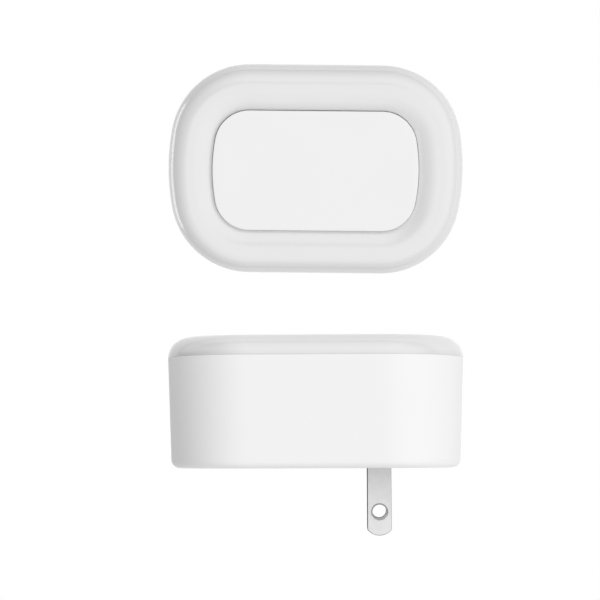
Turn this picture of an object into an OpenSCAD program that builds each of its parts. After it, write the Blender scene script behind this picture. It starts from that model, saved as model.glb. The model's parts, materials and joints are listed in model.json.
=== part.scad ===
// Plug in night light: a deep oval housing on two flat blades, with a glowing ring round a press panel.
// Every piece is drawn lying on its back: x runs along the body towards the plug end, y across it and
// z off the wall. The module placed() stands the piece up: the wall side faces +Y, the plug end is up,
// and the origin is midway between the blades on the back face. All sizes are in millimetres.

/* [Body] */
// Length of the front rim
body_length = 76.0; // [72:0.5:90]
// Width of the front rim
body_width = 53.8; // [52:0.2:66]
// Depth of the housing, from the wall to the ring
housing_depth = 28.0; // [27.4:0.2:38]
// Radius of the rim's four corners
corner_radius = 20.4; // [18.4:0.2:24]
// Radius of the rim's two bulged ends
end_radius = 56.7; // [50:0.1:80]
// How far each wall leans in, from the rim to the back
wall_draft = 0.95; // [0.2:0.05:1.4]
// Radius of the rounded edge round the back
back_edge_radius = 2.2; // [1:0.1:3]
// Thickness of the side wall
side_wall = 2.0; // [1.6:0.1:2.4]
// Thickness of the back wall
back_wall = 2.4; // [2:0.1:3]

/* [Ring] */
// Height of the ring above the rim, which is also the radius of its outer round
ring_height = 5.1; // [4.4:0.1:6]
// Width of the ring, from the rim to the panel bay
ring_width = 11.4; // [11.2:0.1:12.6]
// Width of the slope from the ring's crest to the panel bay
slope_width = 5.0; // [4:0.1:5.4]
// How far that slope falls
slope_fall = 1.5; // [1.2:0.1:2.6]
// Thickness of the ring's shell
ring_shell = 1.8; // [1.4:0.1:2.2]
// How far the ring's spigot reaches into the housing
spigot_depth = 3.0; // [2:0.2:3.6]
// Thickness of the spigot
spigot_wall = 1.4; // [1:0.1:1.6]
// Gap between the spigot and the side wall
spigot_gap = 0.15; // [0.05:0.05:0.3]
// How far the skirt steps back below the ledge that holds the panel
ledge_step = 0.8; // [0.6:0.05:1]
// Thickness of the skirt below the ledge
skirt_thickness = 1.0; // [0.8:0.1:1.2]

/* [Panel] */
// Gap between the panel and the ring
panel_gap = 0.15; // [0.1:0.05:0.5]
// How far the panel lies below the top of the ring
panel_drop = 0.3; // [0.2:0.1:1.6]
// Thickness of the panel
panel_thickness = 1.8; // [1.4:0.1:2.4]
// How far the panel presses in
panel_travel = 1.2; // [0.6:0.1:1.4]
// Thickness of the panel's skirt
panel_skirt_wall = 1.2; // [0.8:0.1:1.6]
// Depth of the skirt, from the panel's underside to its lip
panel_skirt_depth = 4.5; // [4:0.1:5]
// Height of the lip under the ledge
lip_height = 1.2; // [0.8:0.1:1.4]
// Diameter of the four guide posts
post_diameter = 3.0; // [2.4:0.1:3.4]
// Distance of the guide posts inside the skirt's ends
post_from_end = 7.9; // [6:0.1:11]
// Distance of the guide posts inside the skirt's long sides
post_from_side = 5.3; // [4.8:0.1:6.8]
// How far the posts reach into their sleeves
post_engagement = 3.1; // [2:0.1:3.4]
// Diameter of the foot that presses the switch
foot_diameter = 6.0; // [4:0.5:8]

/* [Plug] */
// Distance from the body's centre to the plug's centre
plug_offset = 16.2; // [15:0.1:18]
// Distance between the blades' centres
blade_pitch = 12.7; // [12.6:0.1:12.8]
// Width of a blade
blade_width = 6.2; // [6:0.05:6.6]
// Thickness of a blade
blade_thickness = 1.5; // [1.4:0.05:1.65]
// Length of a blade outside the housing
blade_length = 17.2; // [15.9:0.1:18.3]
// Radius of the arc across a blade's tip
blade_tip_radius = 4.0; // [3.5:0.1:6]
// Distance from the back face to the blade's hole
blade_hole_distance = 11.2; // [10.8:0.1:12.2]
// Diameter of the blade's hole
blade_hole_diameter = 3.6; // [3:0.1:3.8]
// Depth of the countersink on each side of the hole
countersink = 0.4; // [0.1:0.05:0.5]
// Width of the shoulder that holds a blade in place
shoulder_width = 9.6; // [9:0.2:11]
// Height of the shoulder
shoulder_height = 1.3; // [1:0.1:1.8]
// Width of a blade's tail
tail_width = 3.6; // [3:0.2:4.4]
// Height of a blade's tail above the back wall
tail_height = 6.6; // [6:0.2:8]
// Clearance round a blade in its slots
blade_gap = 0.1; // [0.05:0.05:0.2]

/* [Blade clamp] */
// Length of the clamp
clamp_length = 15.6; // [15:0.2:17]
// Width of the clamp
clamp_width = 20.0; // [18.6:0.2:22]
// Height of the clamp
clamp_height = 4.4; // [4:0.2:5.6]
// Radius of the clamp's corners
clamp_corner = 1.5; // [0.5:0.1:3]
// Distance between the clamp's screws
clamp_screw_pitch = 9.6; // [8.4:0.2:10]
// Height of the bosses that the clamp's screws go into
clamp_boss_height = 2.6; // [2:0.2:3]
// Diameter of those bosses
clamp_boss_diameter = 4.4; // [4:0.1:4.8]

/* [Fasteners] */
// Shank diameter of the small screws, in the clamp and the power board
small_shank = 2.0; // [1.8:0.1:2.2]
// Head diameter of the small screws
small_head = 3.8; // [3.4:0.1:4.2]
// Head height of the small screws
small_head_height = 1.3; // [1:0.1:1.6]
// Shank length of the small screws in the power board
board_screw_length = 4.4; // [4:0.1:4.8]
// Shank length of the screws in the blade clamp
clamp_screw_length = 4.8; // [4.4:0.1:5.2]
// Shank diameter of the front screws
front_shank = 2.5; // [2.2:0.1:2.6]
// Head diameter of the front screws
front_head = 4.2; // [3.8:0.1:4.2]
// Head height of the front screws
front_head_height = 1.5; // [1.2:0.1:1.8]
// Shank length of the front screws
front_screw_length = 10; // [8:0.5:12]
// Diameter of the tall bosses under the front screws
front_boss_diameter = 5.6; // [5:0.1:5.8]
// Thickness of the web from a tall boss to the wall
boss_web = 1.2; // [1:0.1:1.6]
// Diameter of the short bosses under the power board
board_boss_diameter = 4.8; // [4.2:0.1:5.2]
// Clearance round a screw in the hole that it cuts its thread in
thread_gap = 0.03; // [0.02:0.01:0.05]
// Clearance round a screw where it passes through a piece
shank_gap = 0.2; // [0.1:0.05:0.3]

/* [Boards] */
// Thickness of both circuit boards
board_thickness = 1.6; // [1.4:0.1:1.7]
// Clearance between a board and the wall
board_gap = 0.45; // [0.3:0.05:0.8]
// Height of the power board above the back wall
board_standoff = 3.0; // [2.6:0.1:3.4]
// Gap between the power board and the blade clamp
clamp_to_board = 3.4; // [3:0.2:4]
// Distance from the rim down to the top of the LED board
led_board_drop = 6.2; // [6:0.1:6.4]
// Diameter of the parts' wire legs
leg_diameter = 0.7; // [0.6:0.05:0.8]
// Clearance round a leg in its hole
leg_gap = 0.15; // [0.1:0.05:0.2]
// How far the legs stick out below the board
leg_tail = 1.0; // [0.6:0.1:1.4]

/* [Power parts] */
// Size of the boxed capacitor's base: length, width
dropper_size = [18, 7.5];
// Gap between the boxed capacitor and the LED board
dropper_headroom = 1; // [0.6:0.1:3]
// Corner radius of the boxed capacitor
dropper_corner = 0.8; // [0.4:0.1:1.2]
// Distance between the boxed capacitor's legs
dropper_pitch = 15; // [12:0.5:16]
// Diameter of the round capacitor
can_diameter = 8; // [7:0.2:8.4]
// Gap between the round capacitor and the LED board
can_headroom = 1.5; // [0.8:0.1:3]
// Distance between the round capacitor's legs
can_pitch = 3.5; // [3:0.1:4]
// Size of the rectifier's body: length, width, height
rectifier_size = [8.3, 6.4, 3.2];
// Corner radius of the rectifier's body
rectifier_corner = 0.4; // [0.2:0.1:0.8]
// Distance between the rectifier's legs
rectifier_pitch = 5.08; // [4.6:0.02:5.4]
// Diameter of the varistor's disc
varistor_diameter = 7.4; // [6:0.2:8]
// Thickness of the varistor's disc
varistor_thickness = 3.4; // [2.8:0.1:4]
// Distance between the varistor's legs
varistor_pitch = 5; // [4:0.1:5.4]
// Diameter of the fusible resistor's body
fusible_diameter = 3.2; // [2.6:0.1:3.6]
// Length of the fusible resistor's body
fusible_length = 9; // [8:0.2:10]
// Distance between the fusible resistor's legs
fusible_pitch = 12.5; // [11.8:0.1:12.8]
// Diameter of a bleed resistor's body
bleed_diameter = 2.4; // [2:0.1:2.6]
// Length of a bleed resistor's body
bleed_length = 6.4; // [5.6:0.2:7]
// Distance between a bleed resistor's legs
bleed_pitch = 10; // [9:0.1:10.6]
// Gap between the two bleed resistors
bleed_gap = 0.8; // [0.6:0.1:0.9]
// Height of the parts' bodies above the board
part_standoff = 0.6; // [0.3:0.1:0.8]
// Diameter of the insulated leads
lead_diameter = 1.8; // [1.5:0.1:2]
// Radius of the leads' bends, on the centre line
lead_bend = 3.0; // [2:0.2:3.4]

/* [Places on the power board] */
// How far the power board's outline lies inside the LED board's
power_board_step = 0.8; // [0.4:0.1:1.2]
// Distance of the near screws from the board's plug side
near_screw_from_edge = 5; // [4:0.2:6]
// Distance of the near screws from the board's long sides
near_screw_from_side = 5.6; // [4:0.2:6]
// Distance of the far screws from the board's far end
far_screw_from_end = 3.3; // [2.8:0.1:4.5]
// Distance of the far screws from the centre line
far_screw_across = 6; // [5:0.5:8]
// Distance of the boxed capacitor from the board's plug side
dropper_from_edge = 13.8; // [12:0.2:15]
// Distance of the boxed capacitor's centre from the board's long side
dropper_from_side = 12.7; // [11.5:0.1:13]
// Distance of the round capacitor from the board's plug side
can_from_edge = 8.4; // [7:0.2:9]
// Distance of the round capacitor from the board's other long side
can_from_side = 12.1; // [11.6:0.1:13]
// Distance of the rectifier from the board's plug side
rectifier_from_edge = 17.6; // [16.8:0.2:18.4]
// Distance of the rectifier from the board's other long side
rectifier_from_side = 14.7; // [13:0.2:15]
// Distance of the varistor from the board's plug side
varistor_from_edge = 27; // [26:0.2:29]
// Distance of the varistor from the board's other long side
varistor_from_side = 16.7; // [15:0.2:17]
// Distance of the fusible resistor from the board's plug side
fusible_from_edge = 8.8; // [8:0.1:9]
// Distance of the fusible resistor from the centre line
fusible_across = 1.6; // [0.6:0.1:2]
// Distance of the bleed resistors from the board's plug side
bleed_from_edge = 16; // [15:0.2:18]
// Gap between the boxed capacitor and the nearer bleed resistor
bleed_to_dropper = 1; // [0.8:0.1:1.2]
// Distance of the link from the board's plug side
link_from_edge = 23.5; // [23:0.1:25]
// Distance of the link from the centre line
link_across = 1; // [0.4:0.1:1.2]
// Distance of the leads' ends from the board's plug side
lead_from_edge = 3; // [2:0.1:3.4]

/* [Light parts] */
// Size of an LED chip: along the ring, across it, height
led_size = [3.5, 2.8, 0.8];
// Distance between neighbouring LEDs
led_pitch = 10; // [8:0.5:11]
// Clearance round an LED in its window
led_window_gap = 0.4; // [0.2:0.1:0.6]
// Distance of the LEDs and the front screws inside the rim
led_inset = 6.25; // [6.1:0.05:6.4]
// Thickness of the reflector frame's floor
floor_thickness = 1.2; // [1:0.1:1.4]
// Height of the frame's inner wall above its floor
trough_height = 3.6; // [2.6:0.2:4.2]
// Thickness of that wall
trough_wall = 0.9; // [0.7:0.1:1]
// Clearance between the frame and the ring's skirt
skirt_gap = 0.3; // [0.2:0.05:0.4]
// Gap between a guide sleeve and the pressed panel
sleeve_headroom = 1.3; // [0.8:0.1:1.8]
// Outer diameter of the guide sleeves
sleeve_diameter = 4.8; // [4.4:0.1:5]
// Running clearance between a post and its sleeve
post_gap = 0.06; // [0.03:0.01:0.1]
// Size of the driver chip's body: length, width, height
driver_size = [4.9, 3.9, 1.4];
// Size of a chip resistor: length, width, height
chip_resistor_size = [3.2, 1.6, 0.6];
// Distance of the driver chip and the chip resistors from the board's centre, along the body
driver_along = 9; // [6:0.5:12]
// Distance of the middle chip resistor from the driver chip
chip_row_across = 8; // [7:0.5:10]

/* [Switch] */
// Side of the switch's square body
switch_side = 8.0; // [7:0.2:9]
// Corner radius of the switch's body
switch_corner = 0.5; // [0.2:0.1:1]
// Height of the switch's body
switch_height = 4.8; // [4.4:0.1:5.2]
// Diameter of the switch's plunger
plunger_diameter = 3.6; // [3:0.1:4.4]
// Running clearance round the plunger
plunger_gap = 0.06; // [0.03:0.01:0.1]
// How far the plunger stands out of the body
plunger_rise = 1.9; // [1.7:0.1:2.2]
// How far the plunger reaches into the body
plunger_depth = 2.4; // [2:0.1:2.6]

/* [Springs] */
// Wire diameter of the return springs
spring_wire = 0.45; // [0.35:0.05:0.5]
// Clearance between a spring and its sleeve
spring_gap = 0.3; // [0.2:0.05:0.4]
// Number of turns in a spring
spring_turns = 5; // [4:1:7]

/* [Link between the boards] */
// Number of pins in the link
link_pins = 4; // [3:1:5]
// Distance between the link's pins
link_pitch = 2.54; // [2.5:0.01:2.6]
// Width of the link's square pins
link_pin_width = 0.64; // [0.5:0.02:0.7]
// Corner radius of the link's plastic strip
link_corner = 0.3; // [0.1:0.05:0.4]
// Height of the link's plastic strip
link_strip_height = 2.5; // [2:0.1:3]
// Clearance round the link's pins
link_gap = 0.12; // [0.05:0.01:0.2]
// How far the link's pins pass each board
link_tail = 0.8; // [0.6:0.1:1]

/* [Hidden] */
$fn = 96;
// Overlap between joined shapes, the extra length of cuts, and a small step between two joined faces
weld = 0.5;
cut = 1;
step_back = 0.05;
// Angle by which an end arc stops short of the corner arcs, so the arcs cross instead of only touching
seam_angle = 1;

// Rim outline: four corner arcs, two end arcs and two straight sides, all tangent
half_length = body_length / 2;
half_width = body_width / 2;
end_centre = half_length - end_radius;
corner_y = half_width - corner_radius;
corner_x = end_centre + sqrt(pow(end_radius - corner_radius, 2) - pow(corner_y, 2));
end_angle = atan2(corner_y, corner_x - end_centre);

// Heights off the wall
ring_top = housing_depth + ring_height;
bay_rim = ring_top - slope_fall;
panel_top = ring_top - panel_drop;
panel_under = panel_top - panel_thickness;
lip_base = panel_under - panel_skirt_depth;
ledge = lip_base + lip_height;
led_board_top = housing_depth - led_board_drop;
led_board_base = led_board_top - board_thickness;
floor_top = led_board_top + floor_thickness;
power_board_base = back_wall + board_standoff;
power_board_top = power_board_base + board_thickness;
switch_top = led_board_top + switch_height;
plunger_top = switch_top + plunger_rise;

// Steps in the arcs of the lofted shapes
corner_steps = 12;
end_steps = 4;
edge_steps = 6;
round_steps = 8;

// Housing section
draft_angle = atan(wall_draft / housing_depth);
edge_x = wall_draft * (1 - back_edge_radius / housing_depth) + back_edge_radius / cos(draft_angle);
board_inset = side_wall + wall_draft + board_gap;

// Slope from the crest to the panel bay: an arc that is level at the crest
slope_radius = (pow(slope_width, 2) + pow(slope_fall, 2)) / (2 * slope_fall);
slope_angle = asin(slope_width / slope_radius);

// Skirts
spigot_inset = side_wall + spigot_gap;
skirt_wall = ledge_step + skirt_thickness;
skirt_base = floor_top + skirt_gap;
panel_inset = ring_width + panel_gap;
lip_inset = ring_width - ledge_step + panel_gap;
trough_inset = ring_width - skirt_wall - skirt_gap - trough_wall;

// Where the front screws go: on the diagonal of each corner
front_screw_x = corner_x + (corner_radius - led_inset) * cos(45);
front_screw_y = corner_y + (corner_radius - led_inset) * sin(45);

// Where things stand on the power board
power_edge = plug_offset - clamp_length / 2 - clamp_to_board;
power_inset = board_inset + power_board_step;
power_side = half_width - power_inset;
near_screw = [power_edge - near_screw_from_edge, power_side - near_screw_from_side];
far_screw = [power_inset + far_screw_from_end - half_length, far_screw_across];
dropper_at = [power_edge - dropper_from_edge, power_side - dropper_from_side];
can_at = [power_edge - can_from_edge, can_from_side - power_side];
rectifier_at = [power_edge - rectifier_from_edge, rectifier_from_side - power_side];
varistor_at = [power_edge - varistor_from_edge, varistor_from_side - power_side];
fusible_at = [power_edge - fusible_from_edge, fusible_across];
bleed_at = [
    power_edge - bleed_from_edge,
    dropper_at.y + dropper_size.y / 2 + bleed_to_dropper + bleed_diameter / 2
];
link_at = [power_edge - link_from_edge, link_across];
lead_end = power_edge - lead_from_edge;
dropper_height = led_board_base - dropper_headroom - power_board_top - part_standoff;
can_height = led_board_base - can_headroom - power_board_top - part_standoff;

// Guide posts and springs
post_x = half_length - panel_inset - panel_skirt_wall - post_from_end;
post_y = half_width - panel_inset - panel_skirt_wall - post_from_side;
sleeve_top = panel_under - panel_travel - sleeve_headroom;
post_base = sleeve_top - post_engagement;
spring_radius = sleeve_diameter / 2 + spring_gap + spring_wire / 2;

// Stands a piece up from its back, with the origin at the plug's centre on the back face.
module placed() {
    rotate([90, -90, 0]) translate([-plug_offset, 0, 0]) children();
}

// The rim outline, moved in by an inset. All its arcs keep their centres.
module outline(inset) {
    sector_slope = tan(end_angle - seam_angle);
    square([2 * corner_x, 2 * (half_width - inset)], center = true);
    for (end = [0, 1]) mirror([end, 0]) {
        for (side = [-1, 1]) translate([corner_x, side * corner_y]) circle(corner_radius - inset);
        intersection() {
            translate([end_centre, 0]) circle(end_radius - inset, $fn = 360);
            polygon([
                [end_centre, 0],
                [end_centre + 2 * end_radius, -2 * end_radius * sector_slope],
                [end_centre + 2 * end_radius, 2 * end_radius * sector_slope]
            ]);
        }
    }
}

// Points of the rim outline moved in by an inset, anticlockwise from the +x end's lower corner.
function arc_points(centre, radius, from, to, steps) =
    [for (i = [0:steps])
        let (angle = from + (to - from) * i / steps)
        centre + radius * [cos(angle), sin(angle)]
    ];

function half_outline(inset) = concat(
    arc_points([corner_x, -corner_y], corner_radius - inset, -90, -end_angle, corner_steps),
    [for (i = [1:end_steps - 1])
        [end_centre, 0] + (end_radius - inset) * [
            cos(end_angle * (2 * i / end_steps - 1)), sin(end_angle * (2 * i / end_steps - 1))
        ]],
    arc_points([corner_x, corner_y], corner_radius - inset, end_angle, 90, corner_steps)
);

function outline_points(inset) = concat(half_outline(inset), [for (p = half_outline(inset)) -p]);

// Solid through the outline at several levels. Each level is [inset, height], from the wall outwards.
module loft(levels) {
    count = len(outline_points(0));
    last = len(levels) - 1;
    points = [for (level = levels, p = outline_points(level[0])) [p.x, p.y, level[1]]];
    walls = [
        for (i = [0:last - 1], j = [0:count - 1])
            let (next = (j + 1) % count)
            [i * count + j, (i + 1) * count + j, (i + 1) * count + next, i * count + next]
    ];
    base = [for (j = [0:count - 1]) j];
    top = [for (j = [count - 1:-1:0]) last * count + j];
    polyhedron(points, concat(walls, [base, top]), convexity = 4);
}

module rounded_block(size, radius) {
    linear_extrude(size.z) {
        square([size.x, size.y - 2 * radius], center = true);
        square([size.x - 2 * radius, size.y], center = true);
        for (x = [-1, 1], y = [-1, 1])
            translate([x * (size.x / 2 - radius), y * (size.y / 2 - radius)]) circle(radius);
    }
}

module at_corners(x, y) {
    for (side_x = [-1, 1], side_y = [-1, 1]) translate([side_x * x, side_y * y, 0]) children();
}

// Along the straight sides and across both ends, turned to follow the ring.
module at_led_places() {
    for (step = [-1.5:1:1.5], side = [-1, 1])
        translate([step * led_pitch, side * (half_width - led_inset), 0]) children();
    for (end = [0, 1], side = [-1, 1]) mirror([end, 0, 0])
        translate([end_centre, 0, 0]) rotate([0, 0, side * asin(led_pitch / 2 / (end_radius - led_inset))])
            translate([end_radius - led_inset, 0, 0]) rotate([0, 0, 90]) children();
}

module at_board_screws() {
    for (side = [-1, 1]) {
        translate([near_screw.x, side * near_screw.y, 0]) children();
        translate([far_screw.x, side * far_screw.y, 0]) children();
    }
}

module at_clamp_screws() {
    for (side = [-1, 1]) translate([plug_offset + side * clamp_screw_pitch / 2, 0, 0]) children();
}

module at_link_pins() {
    for (i = [0:link_pins - 1])
        translate([link_at.x + (i - (link_pins - 1) / 2) * link_pitch, link_at.y, 0]) children();
}

// Pan head screw whose head sits on z = 0.
module screw(shank, head, head_height, length) {
    translate([0, 0, -length]) cylinder(d = shank, h = length);
    difference() {
        cylinder(d = head, h = head_height);
        for (turn = [0, 90]) rotate([0, 0, turn])
            translate([-head / 4, -head / 12, head_height / 2]) cube([head / 2, head / 6, head_height]);
    }
}

// The back edge is an arc that runs into the leaning wall.
module housing_shell() {
    back_edge = [
        for (i = [0:edge_steps])
            let (angle = (90 - draft_angle) * i / edge_steps)
            [edge_x - back_edge_radius * sin(angle), back_edge_radius * (1 - cos(angle))]
    ];
    rim_inset = side_wall - wall_draft * cut / housing_depth;
    floor_inset = side_wall + wall_draft * (1 - back_wall / housing_depth);
    difference() {
        loft(concat(back_edge, [[0, housing_depth]]));
        loft([[floor_inset, back_wall], [rim_inset, housing_depth + cut]]);
    }
}

// Tall boss at each corner, with a web along the diagonal to the wall.
module front_bosses() {
    boss_to_wall = led_inset - side_wall - wall_draft;
    for (end = [0, 1], side = [0, 1]) mirror([end, 0, 0]) mirror([0, side, 0]) {
        translate([front_screw_x, front_screw_y, back_wall - weld]) {
            cylinder(d = front_boss_diameter, h = led_board_base - back_wall + weld);
            rotate([0, 0, 45]) translate([0, -boss_web / 2, 0])
                cube([boss_to_wall + weld, boss_web, led_board_base - back_wall - weld]);
        }
    }
}

module housing() color("white") placed() difference() {
    union() {
        housing_shell();
        front_bosses();
        translate([0, 0, back_wall - weld]) {
            at_board_screws() cylinder(d = board_boss_diameter, h = board_standoff + weld);
            at_clamp_screws() cylinder(d = clamp_boss_diameter, h = clamp_boss_height + weld);
        }
    }
    for (side = [-1, 1])
        translate([plug_offset, side * blade_pitch / 2, back_wall / 2])
            cube([
                blade_width + 2 * blade_gap,
                blade_thickness + 2 * blade_gap,
                back_wall + cut
            ], center = true);
    at_board_screws() translate([0, 0, power_board_top - board_screw_length - cut])
        cylinder(d = small_shank + 2 * thread_gap, h = board_screw_length + cut);
    at_clamp_screws() translate([0, 0, back_wall + clamp_height - clamp_screw_length - thread_gap])
        cylinder(d = small_shank + 2 * thread_gap, h = clamp_screw_length);
    at_corners(front_screw_x, front_screw_y) translate([0, 0, floor_top - front_screw_length - cut])
        cylinder(d = front_shank + 2 * thread_gap, h = front_screw_length);
}

// The ring's round and its inner slope, cut by the panel bay. The slope stands back from the skirt.
module ring_bump() {
    bay_inset = ring_width - step_back;
    outer_levels = [
        for (i = [0:round_steps])
            let (angle = 90 * i / round_steps)
            [ring_height * (1 - cos(angle)), housing_depth + ring_height * sin(angle)]
    ];
    slope_levels = [
        for (i = [0:round_steps])
            let (angle = slope_angle * (1 - i / round_steps))
            [bay_inset - slope_width + slope_radius * sin(angle), ring_top - slope_radius * (1 - cos(angle))]
    ];
    difference() {
        loft(outer_levels);
        loft(concat(
            [[bay_inset, housing_depth - cut]],
            slope_levels,
            [[bay_inset - slope_width, ring_top + cut]]
        ));
    }
}

// Wall that follows the outline, from an outer inset inwards.
module ring_wall(inset, thickness, from, to) {
    translate([0, 0, from]) linear_extrude(to - from) difference() {
        outline(inset);
        outline(inset + thickness);
    }
}

module front_diffuser() color("gainsboro") placed() {
    channel = ring_width - ring_shell - skirt_wall;
    step_in = 0.75 * ring_shell;
    step_down = 0.7 * ring_shell;
    difference() {
        ring_bump();
        ring_wall(ring_shell, channel, housing_depth - cut, ring_top - ring_shell - step_down);
        ring_wall(ring_shell + step_in, channel - 2 * step_in, housing_depth, ring_top - ring_shell);
    }
    ring_wall(spigot_inset, spigot_wall, housing_depth - spigot_depth, ring_top - ring_shell - step_down);
    ring_wall(ring_width - skirt_wall, skirt_wall, ledge, bay_rim - weld);
    ring_wall(ring_width - skirt_wall, skirt_wall - ledge_step, skirt_base, ledge + weld);
}

module press_panel() color("white") placed() {
    translate([0, 0, panel_under]) linear_extrude(panel_thickness) outline(panel_inset);
    ring_wall(panel_inset, panel_skirt_wall, lip_base, panel_under + weld);
    ring_wall(lip_inset, panel_inset + panel_skirt_wall - lip_inset, lip_base, ledge);
    at_corners(post_x, post_y) translate([0, 0, post_base])
        cylinder(d = post_diameter, h = panel_under - post_base + weld);
    translate([0, 0, plunger_top]) cylinder(d = foot_diameter, h = panel_under - plunger_top + weld);
}

module blade_outline() {
    half = blade_width / 2;
    tip_centre = blade_tip_radius - blade_length;
    shoulder_top = back_wall + shoulder_height;
    intersection() {
        union() {
            translate([0, tip_centre]) circle(blade_tip_radius);
            translate([-blade_width, tip_centre]) square([2 * blade_width, shoulder_top + cut - tip_centre]);
        }
        translate([-half, -blade_length]) square([blade_width, blade_length + shoulder_top]);
    }
    translate([-shoulder_width / 2, back_wall]) square([shoulder_width, shoulder_height]);
    translate([-tail_width / 2, back_wall]) square([tail_width, tail_height]);
}

// One blade, with its thickness along y and centred on y = 0.
module blade() {
    hole = blade_hole_diameter / 2;
    translate([plug_offset, blade_thickness / 2, 0]) rotate([90, 0, 0]) difference() {
        linear_extrude(blade_thickness) blade_outline();
        translate([0, -blade_hole_distance, 0]) {
            translate([0, 0, -cut]) cylinder(r = hole, h = blade_thickness + 2 * cut);
            cylinder(r1 = hole + countersink, r2 = hole, h = countersink);
            translate([0, 0, blade_thickness - countersink])
                cylinder(r1 = hole, r2 = hole + countersink, h = countersink);
        }
    }
}

module line_blade() color("silver") placed() translate([0, blade_pitch / 2, 0]) blade();

module neutral_blade() color("silver") placed() translate([0, -blade_pitch / 2, 0]) blade();

module blade_clamp() color("ivory") placed() difference() {
    translate([plug_offset, 0, back_wall])
        rounded_block([clamp_length, clamp_width, clamp_height], clamp_corner);
    for (side = [-1, 1]) translate([plug_offset, side * blade_pitch / 2, back_wall]) {
        cube([
            shoulder_width + 2 * blade_gap,
            blade_thickness + 2 * blade_gap,
            2 * (shoulder_height + blade_gap)
        ], center = true);
        translate([0, 0, clamp_height / 2]) cube([
            tail_width + 2 * blade_gap,
            blade_thickness + 2 * blade_gap,
            clamp_height + cut
        ], center = true);
    }
    at_clamp_screws() {
        cylinder(d = small_shank + 2 * shank_gap, h = back_wall + clamp_height + cut);
        cylinder(d = clamp_boss_diameter + 2 * blade_gap, h = back_wall + clamp_boss_height + blade_gap);
    }
}

module blade_clamp_screws() color("darkgray") placed() at_clamp_screws()
    translate([0, 0, back_wall + clamp_height])
        screw(small_shank, small_head, small_head_height, clamp_screw_length);

// Insulated wire: up from the blade's tail, over to the board and down onto its pad.
module lead() {
    start = back_wall + tail_height;
    top = start + lead_bend;
    module bend() {
        rotate([90, 0, 0]) rotate_extrude(angle = 90) translate([lead_bend, 0]) circle(d = lead_diameter);
    }
    translate([plug_offset - lead_bend, 0, start]) bend();
    translate([lead_end + lead_bend, 0, top]) rotate([0, 90, 0])
        cylinder(d = lead_diameter, h = plug_offset - lead_end - 2 * lead_bend);
    translate([lead_end + lead_bend, 0, start]) mirror([1, 0, 0]) bend();
    translate([lead_end, 0, power_board_top]) cylinder(d = lead_diameter, h = start - power_board_top);
}

module line_lead() color("black") placed() translate([0, blade_pitch / 2, 0]) lead();

module neutral_lead() color("white") placed() translate([0, -blade_pitch / 2, 0]) lead();

// Every place where a leg goes through the power board.
module at_legs() {
    for (side = [-1, 1]) {
        translate([dropper_at.x + side * dropper_pitch / 2, dropper_at.y]) children();
        translate([can_at.x, can_at.y + side * can_pitch / 2]) children();
        translate([varistor_at.x + side * varistor_pitch / 2, varistor_at.y]) children();
        translate([fusible_at.x + side * fusible_pitch / 2, fusible_at.y]) children();
        for (row = [0, 1])
            translate([bleed_at.x + side * bleed_pitch / 2, bleed_at.y + row * (bleed_diameter + bleed_gap)])
                children();
        for (across = [-1, 1])
            translate(rectifier_at + [side, across] * rectifier_pitch / 2) children();
    }
}

module power_board() color("darkgreen") placed() translate([0, 0, power_board_base])
    linear_extrude(board_thickness) difference() {
        intersection() {
            outline(power_inset);
            translate([power_edge - body_length, -body_width / 2]) square([body_length, body_width]);
        }
        at_corners(front_screw_x, front_screw_y) circle(d = front_boss_diameter + 2 * board_gap);
        at_board_screws() circle(d = small_shank + 2 * shank_gap);
        at_link_pins() square(link_pin_width + 2 * link_gap, center = true);
        at_legs() circle(d = leg_diameter + 2 * leg_gap);
    }

module power_board_screws() color("darkgray") placed() at_board_screws()
    translate([0, 0, power_board_top])
        screw(small_shank, small_head, small_head_height, board_screw_length);

// A straight leg from a height above the board down through it.
module leg(rise) {
    translate([0, 0, power_board_base - leg_tail])
        cylinder(d = leg_diameter, h = leg_tail + board_thickness + rise);
}

module dropper_capacitor() color("goldenrod") placed() translate([dropper_at.x, dropper_at.y, 0]) {
    translate([0, 0, power_board_top + part_standoff])
        rounded_block([dropper_size.x, dropper_size.y, dropper_height], dropper_corner);
    for (side = [-1, 1]) translate([side * dropper_pitch / 2, 0, 0]) leg(part_standoff + weld);
}

module smoothing_capacitor() color("midnightblue") placed() translate([can_at.x, can_at.y, 0]) {
    groove = 0.4;
    groove_height = 1.6;
    translate([0, 0, power_board_top + part_standoff]) rotate_extrude() difference() {
        square([can_diameter / 2, can_height]);
        translate([can_diameter / 2, groove_height]) circle(groove);
        translate([-cut, can_height - groove / 2]) square([can_diameter / 2 - 2 * groove + cut, groove]);
    }
    for (side = [-1, 1]) translate([0, side * can_pitch / 2, 0]) leg(part_standoff + weld);
}

module bridge_rectifier() color("dimgray") placed() translate([rectifier_at.x, rectifier_at.y, 0]) {
    translate([0, 0, power_board_top + part_standoff]) rounded_block(rectifier_size, rectifier_corner);
    at_corners(rectifier_pitch / 2, rectifier_pitch / 2) leg(part_standoff + weld);
}

module surge_varistor() color("royalblue") placed() translate([varistor_at.x, varistor_at.y, 0]) {
    translate([0, 0, power_board_top + part_standoff + varistor_diameter / 2]) rotate([90, 0, 0])
        cylinder(d = varistor_diameter, h = varistor_thickness, center = true);
    for (side = [-1, 1]) translate([side * varistor_pitch / 2, 0, 0])
        leg(part_standoff + varistor_diameter / 2);
}

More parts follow.
